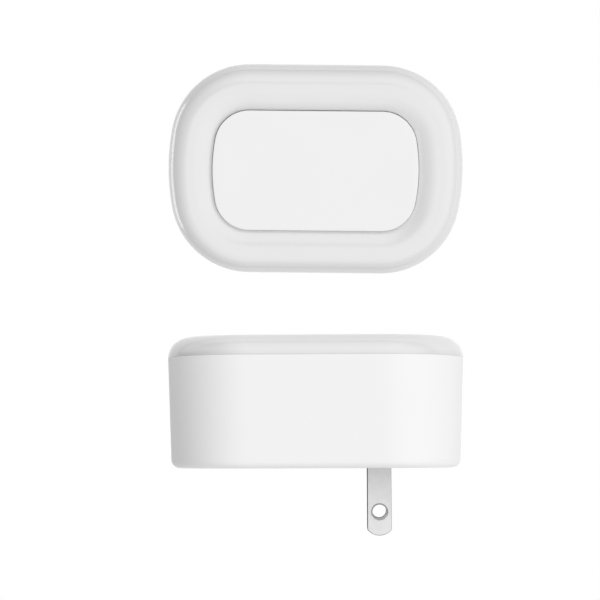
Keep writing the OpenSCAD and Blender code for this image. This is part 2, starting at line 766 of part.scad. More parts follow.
// Resistor that lies along x on two bent legs. Its ends are thicker than its middle.
module axial_resistor(diameter, length, pitch) {
    waist = 0.2;
    end_length = 0.28 * length;
    axis = part_standoff + diameter / 2;
    translate([0, 0, power_board_top + axis]) rotate([0, 90, 0]) {
        cylinder(d = diameter - 2 * waist, h = length, center = true);
        for (side = [-1, 1]) translate([0, 0, side * (length - end_length) / 2])
            cylinder(d = diameter, h = end_length, center = true);
        cylinder(d = leg_diameter, h = pitch, center = true);
    }
    for (side = [-1, 1]) translate([side * pitch / 2, 0, 0]) {
        leg(axis);
        translate([0, 0, power_board_top + axis]) sphere(d = leg_diameter);
    }
}

module fusible_resistor() color("lightblue") placed() translate([fusible_at.x, fusible_at.y, 0])
    axial_resistor(fusible_diameter, fusible_length, fusible_pitch);

module bleed_resistors() color("tan") placed() for (row = [0, 1])
    translate([bleed_at.x, bleed_at.y + row * (bleed_diameter + bleed_gap), 0])
        axial_resistor(bleed_diameter, bleed_length, bleed_pitch);

module board_link_header() color("black") placed() difference() {
    translate([link_at.x, link_at.y, power_board_top])
        rounded_block([link_pins * link_pitch, link_pitch, link_strip_height], link_corner);
    at_link_pins() translate([0, 0, power_board_top])
        cube([link_pin_width + link_gap, link_pin_width + link_gap, 4 * link_strip_height], center = true);
}

module board_link_pins() color("gold") placed() at_link_pins()
    translate([-link_pin_width / 2, -link_pin_width / 2, power_board_base - link_tail])
        cube([link_pin_width, link_pin_width, led_board_top - power_board_base + 2 * link_tail]);

module led_board() color("white") placed() translate([0, 0, led_board_base])
    linear_extrude(board_thickness) difference() {
        outline(board_inset);
        at_corners(front_screw_x, front_screw_y) circle(d = front_shank + 2 * shank_gap);
        at_link_pins() square(link_pin_width + 2 * link_gap, center = true);
    }

module leds() color("khaki") placed() translate([0, 0, led_board_top]) at_led_places() {
    dish = 0.3;
    difference() {
        translate([0, 0, led_size.z / 2]) cube(led_size, center = true);
        translate([0, 0, led_size.z - dish])
            cylinder(d1 = led_size.y * 0.7, d2 = led_size.y * 0.85, h = dish + cut);
    }
}

// Small package with four legs on each side, on the underside of the LED board.
module driver_chip() color("dimgray") placed() translate([driver_along, 0, led_board_base]) {
    legs_lift = 0.15;
    pin_pitch = 1.27;
    pin_width = 0.4;
    pin_length = 1;
    pin_height = driver_size.z / 2 + legs_lift;
    translate([0, 0, -driver_size.z / 2 - legs_lift]) cube(driver_size, center = true);
    for (i = [-1.5:1:1.5], side = [-1, 1])
        translate([i * pin_pitch, side * (driver_size.y / 2 + pin_width), -pin_height / 2])
            cube([pin_width, pin_length, pin_height], center = true);
}

module chip_resistors() color("black") placed() for (i = [-1:1])
    translate([driver_along, i * 2 * chip_resistor_size.y - chip_row_across, led_board_base])
        translate([0, 0, -chip_resistor_size.z / 2]) cube(chip_resistor_size, center = true);

module reflector_frame() color("snow") placed() {
    window = [led_size.x + 2 * led_window_gap, led_size.y + 2 * led_window_gap];
    translate([0, 0, led_board_top]) linear_extrude(floor_thickness) difference() {
        outline(board_inset);
        at_led_places() square(window, center = true);
        at_corners(front_screw_x, front_screw_y) circle(d = front_shank + 2 * shank_gap);
        at_corners(post_x, post_y) circle(d = post_diameter + 2 * post_gap);
        square(switch_side + 2 * led_window_gap, center = true);
        translate(link_at)
            square([link_pins * link_pitch, link_pin_width + 4 * link_gap], center = true);
    }
    translate([0, 0, floor_top - weld]) linear_extrude(trough_height + weld) difference() {
        outline(trough_inset);
        outline(trough_inset + trough_wall);
    }
    translate([0, 0, floor_top - weld]) at_corners(post_x, post_y)
        linear_extrude(sleeve_top - floor_top + weld) difference() {
            circle(d = sleeve_diameter);
            circle(d = post_diameter + 2 * post_gap);
        }
}

module front_screws() color("darkgray") placed() at_corners(front_screw_x, front_screw_y)
    translate([0, 0, floor_top]) screw(front_shank, front_head, front_head_height, front_screw_length);

module switch_body() color("dimgray") placed() translate([0, 0, led_board_top]) difference() {
    rounded_block([switch_side, switch_side, switch_height], switch_corner);
    translate([0, 0, switch_height - plunger_depth - panel_travel - weld])
        cylinder(d = plunger_diameter + 2 * plunger_gap, h = plunger_depth + panel_travel + weld + cut);
}

module switch_plunger() color("black") placed() translate([0, 0, switch_top - plunger_depth])
    cylinder(d = plunger_diameter, h = plunger_depth + plunger_rise);

// Height along a spring's wire: one closed turn at each end, and open turns between them.
function spring_height(turn, length) =
    let (open = length - 3 * spring_wire, open_turns = spring_turns - 2)
    turn < 1 ? turn * spring_wire
    : turn > spring_turns - 1 ? spring_wire + open + (turn - spring_turns + 1) * spring_wire
    : spring_wire + open * (turn - 1) / open_turns;

module spring(length) {
    steps = 14;
    sides = 5;
    last = spring_turns * steps;
    points = [
        for (i = [0:last], j = [0:sides - 1])
            let (
                around = 360 * i / steps,
                radius = spring_radius + spring_wire / 2 * cos(360 * j / sides),
                height = spring_height(i / steps, length) + spring_wire / 2 * (1 + sin(360 * j / sides))
            )
            [radius * cos(around), radius * sin(around), height]
    ];
    walls = [
        for (i = [0:last - 1], j = [0:sides - 1])
            let (next = (j + 1) % sides)
            [i * sides + j, i * sides + next, (i + 1) * sides + next, (i + 1) * sides + j]
    ];
    start = [for (j = [sides - 1:-1:0]) j];
    finish = [for (j = [0:sides - 1]) last * sides + j];
    polyhedron(points, concat(walls, [start, finish]), convexity = 10);
}

module return_springs() color("gray") placed() at_corners(post_x, post_y)
    translate([0, 0, floor_top]) spring(panel_under - floor_top);

housing();
front_diffuser();
press_panel();
line_blade();
neutral_blade();
blade_clamp();
blade_clamp_screws();
line_lead();
neutral_lead();
power_board();
power_board_screws();
dropper_capacitor();
smoothing_capacitor();
bridge_rectifier();
fusible_resistor();
surge_varistor();
bleed_resistors();
board_link_header();
board_link_pins();
led_board();
leds();
driver_chip();
chip_resistors();
reflector_frame();
front_screws();
switch_body();
switch_plunger();
return_springs();
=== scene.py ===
# %% [markdown]
# # A plug in night light
# The light is a deep oval housing on two flat blades. An opal ring sits on its rim, and a press panel
# lies inside the ring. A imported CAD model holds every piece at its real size, inside and out. This
# lesson dresses that model: the outside is modelled again with round edges and smooth curves, and
# every piece gets a material. Blender works in metres here, and the pieces are drawn in millimetres.

import json
import math

import bmesh
import bpy
from mathutils import Matrix, Vector


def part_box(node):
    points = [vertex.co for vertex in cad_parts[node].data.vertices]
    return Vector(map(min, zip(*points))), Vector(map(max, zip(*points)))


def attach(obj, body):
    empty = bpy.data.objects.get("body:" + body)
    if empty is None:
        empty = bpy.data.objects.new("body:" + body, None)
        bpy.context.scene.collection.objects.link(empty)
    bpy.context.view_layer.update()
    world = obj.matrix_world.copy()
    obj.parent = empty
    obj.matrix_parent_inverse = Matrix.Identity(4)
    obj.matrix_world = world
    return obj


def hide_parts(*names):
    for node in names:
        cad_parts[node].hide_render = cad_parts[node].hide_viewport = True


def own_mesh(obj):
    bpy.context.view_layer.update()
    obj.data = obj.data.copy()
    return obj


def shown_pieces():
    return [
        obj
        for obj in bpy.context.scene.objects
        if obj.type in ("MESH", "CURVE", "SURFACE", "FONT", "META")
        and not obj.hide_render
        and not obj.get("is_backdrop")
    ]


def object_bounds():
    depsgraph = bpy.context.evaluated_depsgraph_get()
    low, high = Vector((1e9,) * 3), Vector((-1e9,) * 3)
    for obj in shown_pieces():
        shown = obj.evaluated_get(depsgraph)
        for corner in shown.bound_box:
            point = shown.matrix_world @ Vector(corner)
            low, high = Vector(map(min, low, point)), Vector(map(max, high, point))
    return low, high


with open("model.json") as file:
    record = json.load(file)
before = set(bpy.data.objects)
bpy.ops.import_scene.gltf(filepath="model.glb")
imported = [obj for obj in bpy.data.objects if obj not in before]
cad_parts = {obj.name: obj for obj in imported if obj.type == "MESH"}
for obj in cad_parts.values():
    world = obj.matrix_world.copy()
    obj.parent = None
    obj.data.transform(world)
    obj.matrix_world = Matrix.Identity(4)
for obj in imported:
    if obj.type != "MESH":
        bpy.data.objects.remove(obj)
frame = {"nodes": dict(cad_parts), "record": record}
cad_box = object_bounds()
print("CAD box in mm:", [[round(1000 * c, 2) for c in corner] for corner in cad_box])

# %% [markdown]
# ## The drawing position
# An oval is easiest to draw lying flat, so each new piece is drawn on its back: x runs along the body
# towards the plug, y across it and z off the wall. One matrix then stands it up as it hangs on a wall:
# the wall side faces +Y and the plug end is up. The matrix also turns millimetres into metres.

# %% Sizes taken from the frame
MM = 0.001
ring_low, ring_high = (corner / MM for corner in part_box("front_diffuser"))
panel_low, panel_high = (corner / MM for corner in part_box("press_panel"))

half_length = (ring_high.z - ring_low.z) / 2
half_width = (ring_high.x - ring_low.x) / 2
plug_offset = -(ring_high.z + ring_low.z) / 2
housing_depth = -(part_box("housing")[0] / MM).y
ring_top = -ring_low.y
panel_top = -panel_low.y
stand_up = Matrix.Scale(MM, 4) @ Matrix((
    (0, -1, 0, 0),
    (0, 0, -1, 0),
    (1, 0, 0, -plug_offset),
    (0, 0, 0, 1),
))
print(f"body {2 * half_length:.1f} x {2 * half_width:.1f} mm, rim {housing_depth:.1f}, top {ring_top:.1f}")

# %% [markdown]
# ## The camera
# A product sheet shows a thing from two sides at once. The camera looks at the light's long side, with
# the plug end on the right and the blades down, from about half a metre away and level with the wall.
# A long lens keeps the sides parallel. The camera is tipped up a little instead of shifted, which
# leaves room above for the second view, and it is rolled by a fifth of a degree, as by hand.

# %% Place the camera
image_size = 600
side_scale = 3.878  # image points for each millimetre at the body's middle
camera_distance = 520.0
level_point = 450  # the image row that is level with the camera
side_centre_point = 315.4  # the image column of the body's middle
side_roll = 0.2

tip_up = math.atan((level_point - image_size / 2) / (side_scale * camera_distance))
focal_points = side_scale * camera_distance * math.cos(tip_up)
camera_y, camera_z = -4.6, -6.0  # a little below the blades, so that they almost hide each other
turn_left = (
    math.atan((plug_offset + camera_z) / camera_distance)
    + math.atan((side_centre_point - image_size / 2) / focal_points)
)

right = Vector((0, 0, 1))
up = Vector((math.sin(tip_up), -math.cos(tip_up), 0))
back = Vector((math.cos(tip_up), math.sin(tip_up), 0))
camera_turn = (
    Matrix.Rotation(turn_left, 4, Vector((0, -1, 0)))
    @ Matrix((right, up, back)).transposed().to_4x4()
    @ Matrix.Rotation(math.radians(-side_roll), 4, "Z")
)

camera_data = bpy.data.cameras.new("camera")
camera_data.sensor_width = 36
camera_data.lens = camera_data.sensor_width * focal_points / image_size
camera_data.clip_end = 400
camera = bpy.data.objects.new("camera", camera_data)
camera.matrix_world = Matrix.Translation(Vector((camera_distance, camera_y, camera_z)) * MM) @ camera_turn
bpy.context.scene.collection.objects.link(camera)
bpy.context.scene.camera = camera
bpy.context.scene.view_settings.view_transform = "Standard"
print(f"lens {camera_data.lens:.1f} mm, tipped up by {math.degrees(tip_up):.2f} degrees")
print(f"turned left by {math.degrees(turn_left):.2f} degrees")

# %% [markdown]
# ## The oval outline
# The rim is made of four corner arcs, two wide end arcs and two straight sides, and each runs smoothly
# into the next. A single vertex is spun round each centre in turn, and the half is mirrored. A smaller
# oval with the same centres has the same shape, so a piece is swept by extruding the loop and moving
# each point along the direction in which the oval faces there.

# %% Draw an oval and sweep it
corner_radius = 20.4
end_radius = 56.7
end_centre = half_length - end_radius
corner_y = half_width - corner_radius
corner_x = end_centre + math.sqrt((end_radius - corner_radius) ** 2 - corner_y ** 2)
end_angle = math.atan2(corner_y, corner_x - end_centre)
side_steps, corner_steps, end_steps = 6, 20, 10
tiny = 1e-6  # as much as rounding can change an angle
mirror_weld = 0.001  # mirrored points nearer than this are merged


def facing(point):
    """The direction in which the oval faces at a point on it, or on any oval with the same centres."""
    x, y = abs(point.x), abs(point.y)
    if math.atan2(y, x - end_centre) < end_angle - tiny:
        direction = Vector((x - end_centre, y, 0))
    elif x > corner_x:
        direction = Vector((x - corner_x, y - corner_y, 0))
    else:
        direction = Vector((0, 1, 0))
    direction.normalize()
    return Vector((math.copysign(direction.x, point.x), math.copysign(direction.y, point.y), 0))


def add_oval(mesh, inset, height):
    """Adds the rim's oval, moved in by an inset, as a closed loop of edges at a height off the wall."""
    known = set(mesh.verts)
    tip = mesh.verts.new((0, half_width - inset, height))
    for step in range(side_steps):
        tip = bmesh.ops.extrude_vert_indiv(mesh, verts=[tip])["verts"][0]
        tip.co.x = corner_x * (step + 1) / side_steps
    turn_corner = end_angle - math.pi / 2
    arcs = (
        ((corner_x, corner_y, height), turn_corner, corner_steps),
        ((end_centre, 0, height), -2 * end_angle, end_steps),
        ((corner_x, -corner_y, height), turn_corner, corner_steps),
    )
    for centre, angle, steps in arcs:
        swung = bmesh.ops.spin(mesh, geom=[tip], cent=centre, axis=(0, 0, 1), angle=angle, steps=steps)
        tip = next(part for part in swung["geom_last"] if isinstance(part, bmesh.types.BMVert))
    for step in range(side_steps):
        tip = bmesh.ops.extrude_vert_indiv(mesh, verts=[tip])["verts"][0]
        tip.co.x = corner_x * (side_steps - step - 1) / side_steps
    half = [vert for vert in mesh.verts if vert not in known]
    bmesh.ops.mirror(mesh, geom=half + edges_of(half), axis="X", merge_dist=mirror_weld)
    return edges_of(vert for vert in mesh.verts if vert not in known)


def edges_of(verts):
    """All the edges at some vertices, each once and always in the same order."""
    return list(dict.fromkeys(edge for vert in verts for edge in vert.link_edges))


def sweep(mesh, section):
    """Sweeps a section round the oval. Each point of it is (inset, height). Returns the two end loops."""
    first = loop = add_oval(mesh, *section[0])
    for (inset, _), (next_inset, next_height) in zip(section, section[1:]):
        made = bmesh.ops.extrude_edge_only(mesh, edges=loop)["geom"]
        for vert in (part for part in made if isinstance(part, bmesh.types.BMVert)):
            vert.co += facing(vert.co) * (inset - next_inset)
            vert.co.z = next_height
        loop = [part for part in made if isinstance(part, bmesh.types.BMEdge)]
    return first, loop


def arc(centre, radius, start, end, steps):
    """Section points on an arc. Angles are in degrees: 0 points inwards and 90 off the wall."""
    angles = [math.radians(start + (end - start) * step / steps) for step in range(steps + 1)]
    return [(centre[0] + radius * math.cos(a), centre[1] + radius * math.sin(a)) for a in angles]


def fill(mesh, edges):
    """Fills flat loops with faces. A loop inside another one stays open, as a hole."""
    return bmesh.ops.triangle_fill(mesh, use_beauty=True, use_dissolve=False, edges=edges)["geom"]


test = bmesh.new()
print("points in an oval:", len(add_oval(test, 0, 0)))
test.free()

# %% [markdown]
# ## Round posts and finished pieces
# Screw bosses and guide posts are turned shapes. Half of a post's section is drawn as a line from its
# axis to its axis and spun right round, as on a lathe, which also gives a boss its blind hole. Every
# piece then goes through the same last steps: close seams, point the faces outwards, stand it up,
# shade it smooth except across sharp edges, tie it to its body and hide the CAD nodes it stands for.

# %% Turn a post and finish a piece
round_steps = 40
seam_weld = 0.0005  # points at a seam nearer than this are merged


def add_turned(mesh, place, section):
    """Adds a shape that is turned about an upright axis. Each point of its section is (radius, height)."""
    line = [mesh.verts.new((place[0] + section[0][0], place[1], section[0][1]))]
    for radius, height in section[1:]:
        line.append(bmesh.ops.extrude_vert_indiv(mesh, verts=[line[-1]])["verts"][0])
        line[-1].co = (place[0] + radius, place[1], height)
    bmesh.ops.spin(mesh, geom=line + edges_of(line), cent=(*place, 0), axis=(0, 0, 1), angle=math.tau,
                   steps=round_steps, use_merge=True)


def finish_piece(name, mesh, body, nodes, material, sharp=35):
    """Stands a drawn piece up, makes it an object that rides on a body and hides the CAD nodes it stands
    for.
    Edges that bend by more than sharp, in degrees, stay sharp to the eye."""
    bmesh.ops.remove_doubles(mesh, verts=mesh.verts, dist=seam_weld)
    bmesh.ops.recalc_face_normals(mesh, faces=mesh.faces)
    bmesh.ops.transform(mesh, matrix=stand_up, verts=mesh.verts)
    for face in mesh.faces:
        face.smooth = True
    for edge in mesh.edges:
        edge.smooth = len(edge.link_faces) == 2 and edge.calc_face_angle(0) < math.radians(sharp)
    data = bpy.data.meshes.new(name)
    mesh.to_mesh(data)
    open_edges = sum(len(edge.link_faces) != 2 for edge in mesh.edges)
    mesh.free()
    data.materials.append(material)
    piece = bpy.data.objects.new(name, data)
    bpy.context.scene.collection.objects.link(piece)
    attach(piece, body)
    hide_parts(*nodes)
    print(f"{name}: {len(data.polygons)} faces, {open_edges} open edges")
    return piece


# %% [markdown]
# ## How the materials are written
# Each finish starts from the real material and how its surface was made. One function adds a shader
# node with its settings and links. Colours are written as the hex codes that a colour picker shows,
# and one function turns them into the linear values that shaders use. The others do what most finishes
# need: open a material again, paint a colour over part of it, and roughen and emboss its surface.

# %% Helpers for materials
def srgb(code):
    """A hex colour as the linear values of a shader socket."""
    channels = [int(code[i:i + 2], 16) / 255 for i in (1, 3, 5)]
    linear = [c / 12.92 if c <= 0.04045 else ((c + 0.055) / 1.055) ** 2.4 for c in channels]
    return (*linear, 1.0)


def darker(code, share):
    """A hex colour made darker by a share, as linear values."""
    return [channel * (1 - share) for channel in srgb(code)[:3]] + [1]


def add_node(tree, kind, settings=None, links=None):
    """Adds a shader node of a kind. Settings are properties or socket values by name or number. Links are
    input: output, and a node stands for its first output."""
    made = tree.nodes.new("ShaderNode" + kind)
    sockets = {socket.name for socket in made.inputs}
    for name, value in (settings or {}).items():
        if isinstance(name, int) or name in sockets:
            made.inputs[name].default_value = value
        else:
            setattr(made, name, value)
    for name, source in (links or {}).items():
        output = source.outputs[0] if isinstance(source, bpy.types.Node) else source
        tree.links.new(output, made.inputs[name])
    return made


def start_material(name, settings):
    """A new material with one Principled shader and a node of coordinates."""
    material = bpy.data.materials.new(name)
    material.use_nodes = True
    add_node(material.node_tree, "TexCoord")
    for socket, value in settings.items():
        material.node_tree.nodes["Principled BSDF"].inputs[socket].default_value = value
    return material


def inside(material):
    """A material's node tree, its shader and the outputs of its coordinates."""
    tree = material.node_tree
    spots = next(node for node in tree.nodes if node.type == "TEX_COORD").outputs
    return tree, tree.nodes["Principled BSDF"], spots


def paint_over(material, mask, colour):
    """Mixes a linear colour over a material's own colour, as far as a mask says."""
    tree, shader, _ = inside(material)
    base = shader.inputs["Base Color"]
    own = {6: base.links[0].from_socket} if base.is_linked else {}
    mix = add_node(tree, "Mix", {"data_type": "RGBA", 6: base.default_value[:], 7: colour},
                   {0: mask, **own})
    tree.links.new(mix.outputs[2], base)


def roughen(material, roughness, spread, pattern, depth, relief):
    """Lets a pattern vary the roughness by a spread, and a relief emboss the surface by a depth in mm."""
    tree, shader, _ = inside(material)
    gloss = add_node(tree, "MapRange", {"To Min": roughness - spread, "To Max": roughness + spread},
                     {"Value": pattern})
    bump = add_node(tree, "Bump", {"Strength": 1.0, "Distance": depth * MM}, {"Height": relief})
    tree.links.new(gloss.outputs["Result"], shader.inputs["Roughness"])
    tree.links.new(bump.outputs["Normal"], shader.inputs["Normal"])


# %% [markdown]
# ## Moulded plastic
# A moulded surface copies its mould. Up close it has a fine grain of spark-eroded or blasted steel, and
# over a few centimetres its colour and gloss drift slightly where the melt cooled at another speed.
# Two noises give this: a fine one drives a bump, and a coarse one drifts the colour and roughness.

# %% Write the moulded finish
moulded_spread = 0.03


def moulded(name, colour, roughness, grain=0.4, depth=0.001, drift=18.0, cloud=0.02, **settings):
    """Moulded plastic. grain and depth are the spacing and the height of its fine texture in mm.
    drift is the size of its cloudy patches in mm, and cloud is how much darker they are."""
    settings = {socket.replace("_", " "): value for socket, value in settings.items()}
    material = start_material(name, {"IOR": 1.5, "Base Color": srgb(colour), **settings})
    tree, _, spots = inside(material)
    patches = add_node(tree, "TexNoise", {"Scale": 1 / (drift * MM), "Detail": 2.0},
                       {"Vector": spots["Object"]})
    fine = add_node(tree, "TexNoise", {"Scale": 1 / (grain * MM), "Detail": 1.0},
                    {"Vector": spots["Object"]})
    paint_over(material, patches, darker(colour, cloud))
    roughen(material, roughness, moulded_spread, patches, depth, fine)
    return material


# %% [markdown]
# ## The housing
# The housing is one deep moulded shell. Its wall leans in a little towards the back, so that it leaves
# the mould, and a round edge runs into the flat back. The whole wall is one section swept round the
# oval, from the inner floor over the rim to the back face. The blades pass through two slots in the
# back, so its two flat faces are filled with the slots left open.

# %% Model the housing's shell
side_wall, back_wall = 2.0, 2.4
wall_draft = 0.95
back_edge_radius = 2.2
edge_softness = 0.12
blade_pitch, blade_width, blade_thickness, blade_gap = 12.7, 6.2, 1.5, 0.1
floor_border, back_border = 1.5, 0.6  # how far the sweep runs in on the two flats that are filled
soft_steps, back_steps = 4, 10


def lean(height):
    """How far the wall has leant in at a height off the wall."""
    return wall_draft * (1 - height / housing_depth)


draft_angle = math.degrees(math.atan(wall_draft / housing_depth))
edge_centre = (
    lean(back_edge_radius) + back_edge_radius / math.cos(math.radians(draft_angle)),
    back_edge_radius,
)
rim_edge = arc((edge_softness, housing_depth - edge_softness), edge_softness, 90, 180, soft_steps)
back_edge = arc(edge_centre, back_edge_radius, 180 + draft_angle, 270, back_steps)
wall_heights = [housing_depth * share for share in (0.8, 0.6, 0.4, 0.2)]
housing_section = (
    [(side_wall + lean(back_wall) + floor_border, back_wall), (side_wall + lean(back_wall), back_wall)]
    + [(side_wall, housing_depth)]
    + rim_edge
    + [(lean(height), height) for height in wall_heights]
    + back_edge
    + [(edge_centre[0] + back_border, 0)]
)
shell = bmesh.new()
floor_loop, back_loop = sweep(shell, housing_section)
slot_size = Matrix.Diagonal((blade_width + 2 * blade_gap, blade_thickness + 2 * blade_gap, 1, 1))
for side in (-1, 1):
    slot_place = Matrix.Translation((plug_offset, side * blade_pitch / 2, 0)) @ slot_size
    corners = bmesh.ops.create_grid(shell, x_segments=1, y_segments=1, size=0.5, matrix=slot_place)["verts"]
    bmesh.ops.delete(shell, geom=corners[0].link_faces[:], context="FACES_ONLY")
    back_loop += edges_of(corners)
    raised = bmesh.ops.extrude_edge_only(shell, edges=edges_of(corners))["geom"]
    top_corners = [part for part in raised if isinstance(part, bmesh.types.BMVert)]
    bmesh.ops.translate(shell, vec=(0, 0, back_wall), verts=top_corners)
    floor_loop += [part for part in raised if isinstance(part, bmesh.types.BMEdge)]
fill(shell, floor_loop)
fill(shell, back_loop)
print("faces in the shell:", len(shell.faces))

# %% [markdown]
# ## Bosses for the screws
# Screws hold the two boards, the frame and the clamp. Each goes into a boss, a post with a blind hole
# that is moulded with the shell. The four tall ones at the corners are braced by thin webs that reach to
# the wall. A boss is turned from half of its section, and it starts a little inside the floor.

# %% Stand the bosses in it
led_inset = 6.25
floor_top, led_board_base, power_board_base = 23.0, 20.2, 5.4
front_boss_radius, front_hole_radius, front_hole_depth = 2.8, 1.28, 10.0
board_boss_radius, clamp_boss_radius, small_hole_radius = 2.4, 2.2, 1.03
board_hole_floor, clamp_hole_floor, clamp_boss_height = 2.6, 2.45, 2.6
clamp_screw_reach = 4.8
boss_web = 1.2
sunk = 0.05  # each boss starts this far inside the floor
diagonal = (corner_radius - led_inset) * math.sqrt(0.5)
front_screws = [(x * (corner_x + diagonal), y * (corner_y + diagonal)) for x in (-1, 1) for y in (-1, 1)]
board_screws = [(0.0, 17.1), (0.0, -17.1), (-30.5, 6.0), (-30.5, -6.0)]
clamp_screws = [(plug_offset - clamp_screw_reach, 0.0), (plug_offset + clamp_screw_reach, 0.0)]
bosses = (
    (front_screws, front_boss_radius, led_board_base, front_hole_radius, floor_top - front_hole_depth),
    (board_screws, board_boss_radius, power_board_base, small_hole_radius, board_hole_floor),
    (clamp_screws, clamp_boss_radius, back_wall + clamp_boss_height, small_hole_radius, clamp_hole_floor),
)
for places, outer, top, hole, hole_floor in bosses:
    for boss_place in places:
        add_turned(shell, boss_place, [(0, back_wall - sunk), (outer, back_wall - sunk), (outer, top),
                                       (hole, top), (hole, hole_floor), (0, hole_floor)])
web_height = led_board_base - back_wall
web_start = front_boss_radius * 0.8  # inside the boss, so that the two run into each other
web_end = led_inset - side_wall - wall_draft + sunk
web_size = Matrix.Diagonal((web_end - web_start, boss_web, web_height, 1))
for x, y in front_screws:
    slant = math.atan2(math.copysign(1, y), math.copysign(1, x))
    web_middle = (
        Matrix.Translation((x, y, back_wall + web_height / 2))
        @ Matrix.Rotation(slant, 4, "Z")
        @ Matrix.Translation(((web_start + web_end) / 2, 0, 0))
    )
    bmesh.ops.create_cube(shell, size=1, matrix=web_middle @ web_size)

# White ABS from a fine blasted mould: a satin wall with a soft, wide highlight and no visible texture.
housing_white = moulded("housing_white_moulded_abs", "#EEEEEE", 0.45, grain=0.5, depth=0.0008)
finish_piece("housing_shell", shell, "light", ["housing"], housing_white)

# %% [markdown]
# ## The opal ring
# The ring lets the light out. It is a hollow moulded cap with a round outer edge, a narrow crest and a
# shallow slope that dips down to the panel. Inside, a spigot locates it in the housing and a skirt
# with a ledge holds the panel. All of it is one closed section, swept once round the oval. The slope
# is an arc that is level at the crest, so its radius follows from how wide and how deep it is.

# %% Model the ring
ring_height = ring_top - housing_depth
ring_width, ring_shell = 11.4, 1.8
slope_width, slope_fall = 5.0, 1.5
ledge_step, skirt_thickness = 0.8, 1.0
spigot_inset, spigot_wall, spigot_depth = 2.15, 1.4, 3.0
panel_thickness, panel_skirt_depth, lip_height = 1.8, 4.5, 1.2
lip_base = panel_top - panel_thickness - panel_skirt_depth
ledge = lip_base + lip_height
skirt_base = -ring_high.y
spigot_foot = housing_depth - spigot_depth

slope_radius = (slope_width ** 2 + slope_fall ** 2) / (2 * slope_fall)
slope_angle = math.degrees(math.asin(slope_width / slope_radius))
slope_centre = (ring_width - slope_width, ring_top - slope_radius)
skirt_outer = ring_width - ledge_step - skirt_thickness
ceiling = ring_top - ring_shell
rise = 1.3  # the inner corner over the spigot is cut off this far
outer_start = 178  # the outer arc starts two degrees above the wall's direction, past the soft edge
outer_steps, slope_steps = 24, 16
skirt_ceiling = ring_top - slope_fall - ring_shell
ring_section = (
    arc((edge_softness, housing_depth + edge_softness), edge_softness, 270, 180, soft_steps)
    + arc((ring_height, housing_depth), ring_height, outer_start, 90, outer_steps)
    + arc(slope_centre, slope_radius, 90, 90 - slope_angle, slope_steps)
    + [(ring_width, ledge), (ring_width - ledge_step, ledge), (ring_width - ledge_step, skirt_base)]
    + [(skirt_outer, skirt_base), (skirt_outer, skirt_ceiling), (ring_width - slope_width, ceiling)]
    + [(spigot_inset + spigot_wall + rise, ceiling), (spigot_inset + spigot_wall, ceiling - rise)]
    + [(spigot_inset + spigot_wall, spigot_foot), (spigot_inset, spigot_foot)]
    + [(spigot_inset, ceiling - rise), (ring_shell, ceiling - rise), (ring_shell, housing_depth)]
    + [(edge_softness, housing_depth)]
)
ring = bmesh.new()
sweep(ring, ring_section)

# Polished opal polycarbonate: milky, a shade greyer than the housing, with clear soft reflections.
ring_opal = moulded("ring_opal_moulded_polycarbonate", "#DFDFDF", 0.18, grain=1.5, depth=0.0,
                    IOR=1.585, Specular_IOR_Level=0.9)
# Shade is painted on the ring next to its seam with the housing, so its lowest part looks a little greyer.
painted_shade_width, painted_shade_share = 1.4, 0.1
tree, _, spots = inside(ring_opal)
off_wall = add_node(tree, "SeparateXYZ", None, {0: spots["Object"]}).outputs["Y"]
painted_seam_shade = add_node(tree, "MapRange", {
    "From Min": -(housing_depth + painted_shade_width) * MM,
    "From Max": -housing_depth * MM,
    "To Max": painted_shade_share,
}, {"Value": off_wall})
# The painted shade goes on here, greyest right at the seam.
paint_over(ring_opal, painted_seam_shade, srgb("#404040"))
finish_piece("opal_ring", ring, "light", ["front_diffuser"], ring_opal)

# %% [markdown]
# ## The press panel
# The panel is a flat cap with a small round edge. A skirt with an outward lip hangs under it, and four
# guide posts and a middle foot stand on its back. The cap is swept like the housing, and its top and
# underside are filled flat. It rides on its own body, because it moves when it is pressed.

# %% Model the panel
panel_gap, panel_edge, panel_skirt_wall = 0.15, 0.2, 1.2
cap_border = 1.2  # how far the sweep runs in on the cap's top before the fill
cap_steps = 6
post_from_end, post_from_side, post_radius, foot_radius = 7.9, 5.3, 1.5, 3.0
post_foot = -panel_high.y
plunger_top = -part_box("switch_plunger")[0].y / MM

panel_inset = ring_width + panel_gap
lip_inset = panel_inset - ledge_step
panel_under = panel_top - panel_thickness
panel_section = (
    [(panel_inset + panel_edge + cap_border, panel_top)]
    + arc((panel_inset + panel_edge, panel_top - panel_edge), panel_edge, 90, 180, cap_steps)
    + [(panel_inset, ledge), (lip_inset, ledge), (lip_inset, lip_base)]
    + [(panel_inset + panel_skirt_wall, lip_base), (panel_inset + panel_skirt_wall, panel_under)]
)
panel = bmesh.new()
top_loop, under_loop = sweep(panel, panel_section)
fill(panel, top_loop)
fill(panel, under_loop)
post_x = half_length - panel_inset - panel_skirt_wall - post_from_end
post_y = half_width - panel_inset - panel_skirt_wall - post_from_side
posts = [(x * post_x, y * post_y, post_foot, post_radius) for x in (-1, 1) for y in (-1, 1)]
for x, y, low, radius in posts + [(0, 0, plunger_top, foot_radius)]:
    root = panel_under + sunk
    add_turned(panel, (x, y), [(0, low), (radius, low), (radius, root), (0, root)])

# White ABS from a finer mould than the housing: an even satin face that mirrors nothing clearly.
panel_white = moulded("panel_white_moulded_abs", "#EEEEEE", 0.5, grain=0.6, depth=0.0006)
finish_piece("press_panel_cap", panel, "panel", ["press_panel"], panel_white)

# %% [markdown]
# ## The blades
# The blades are stamped from brass strip: a round tip, a round hole near it and a wide shoulder that
# the clamp holds. Stamping breaks the edges slightly, and the hole is countersunk on both faces. Half
# of the outline is drawn from the tip, mirrored and filled round the hole. The flat shape is extruded,
# and an inset on each face that also lifts the face gives the broken edge.

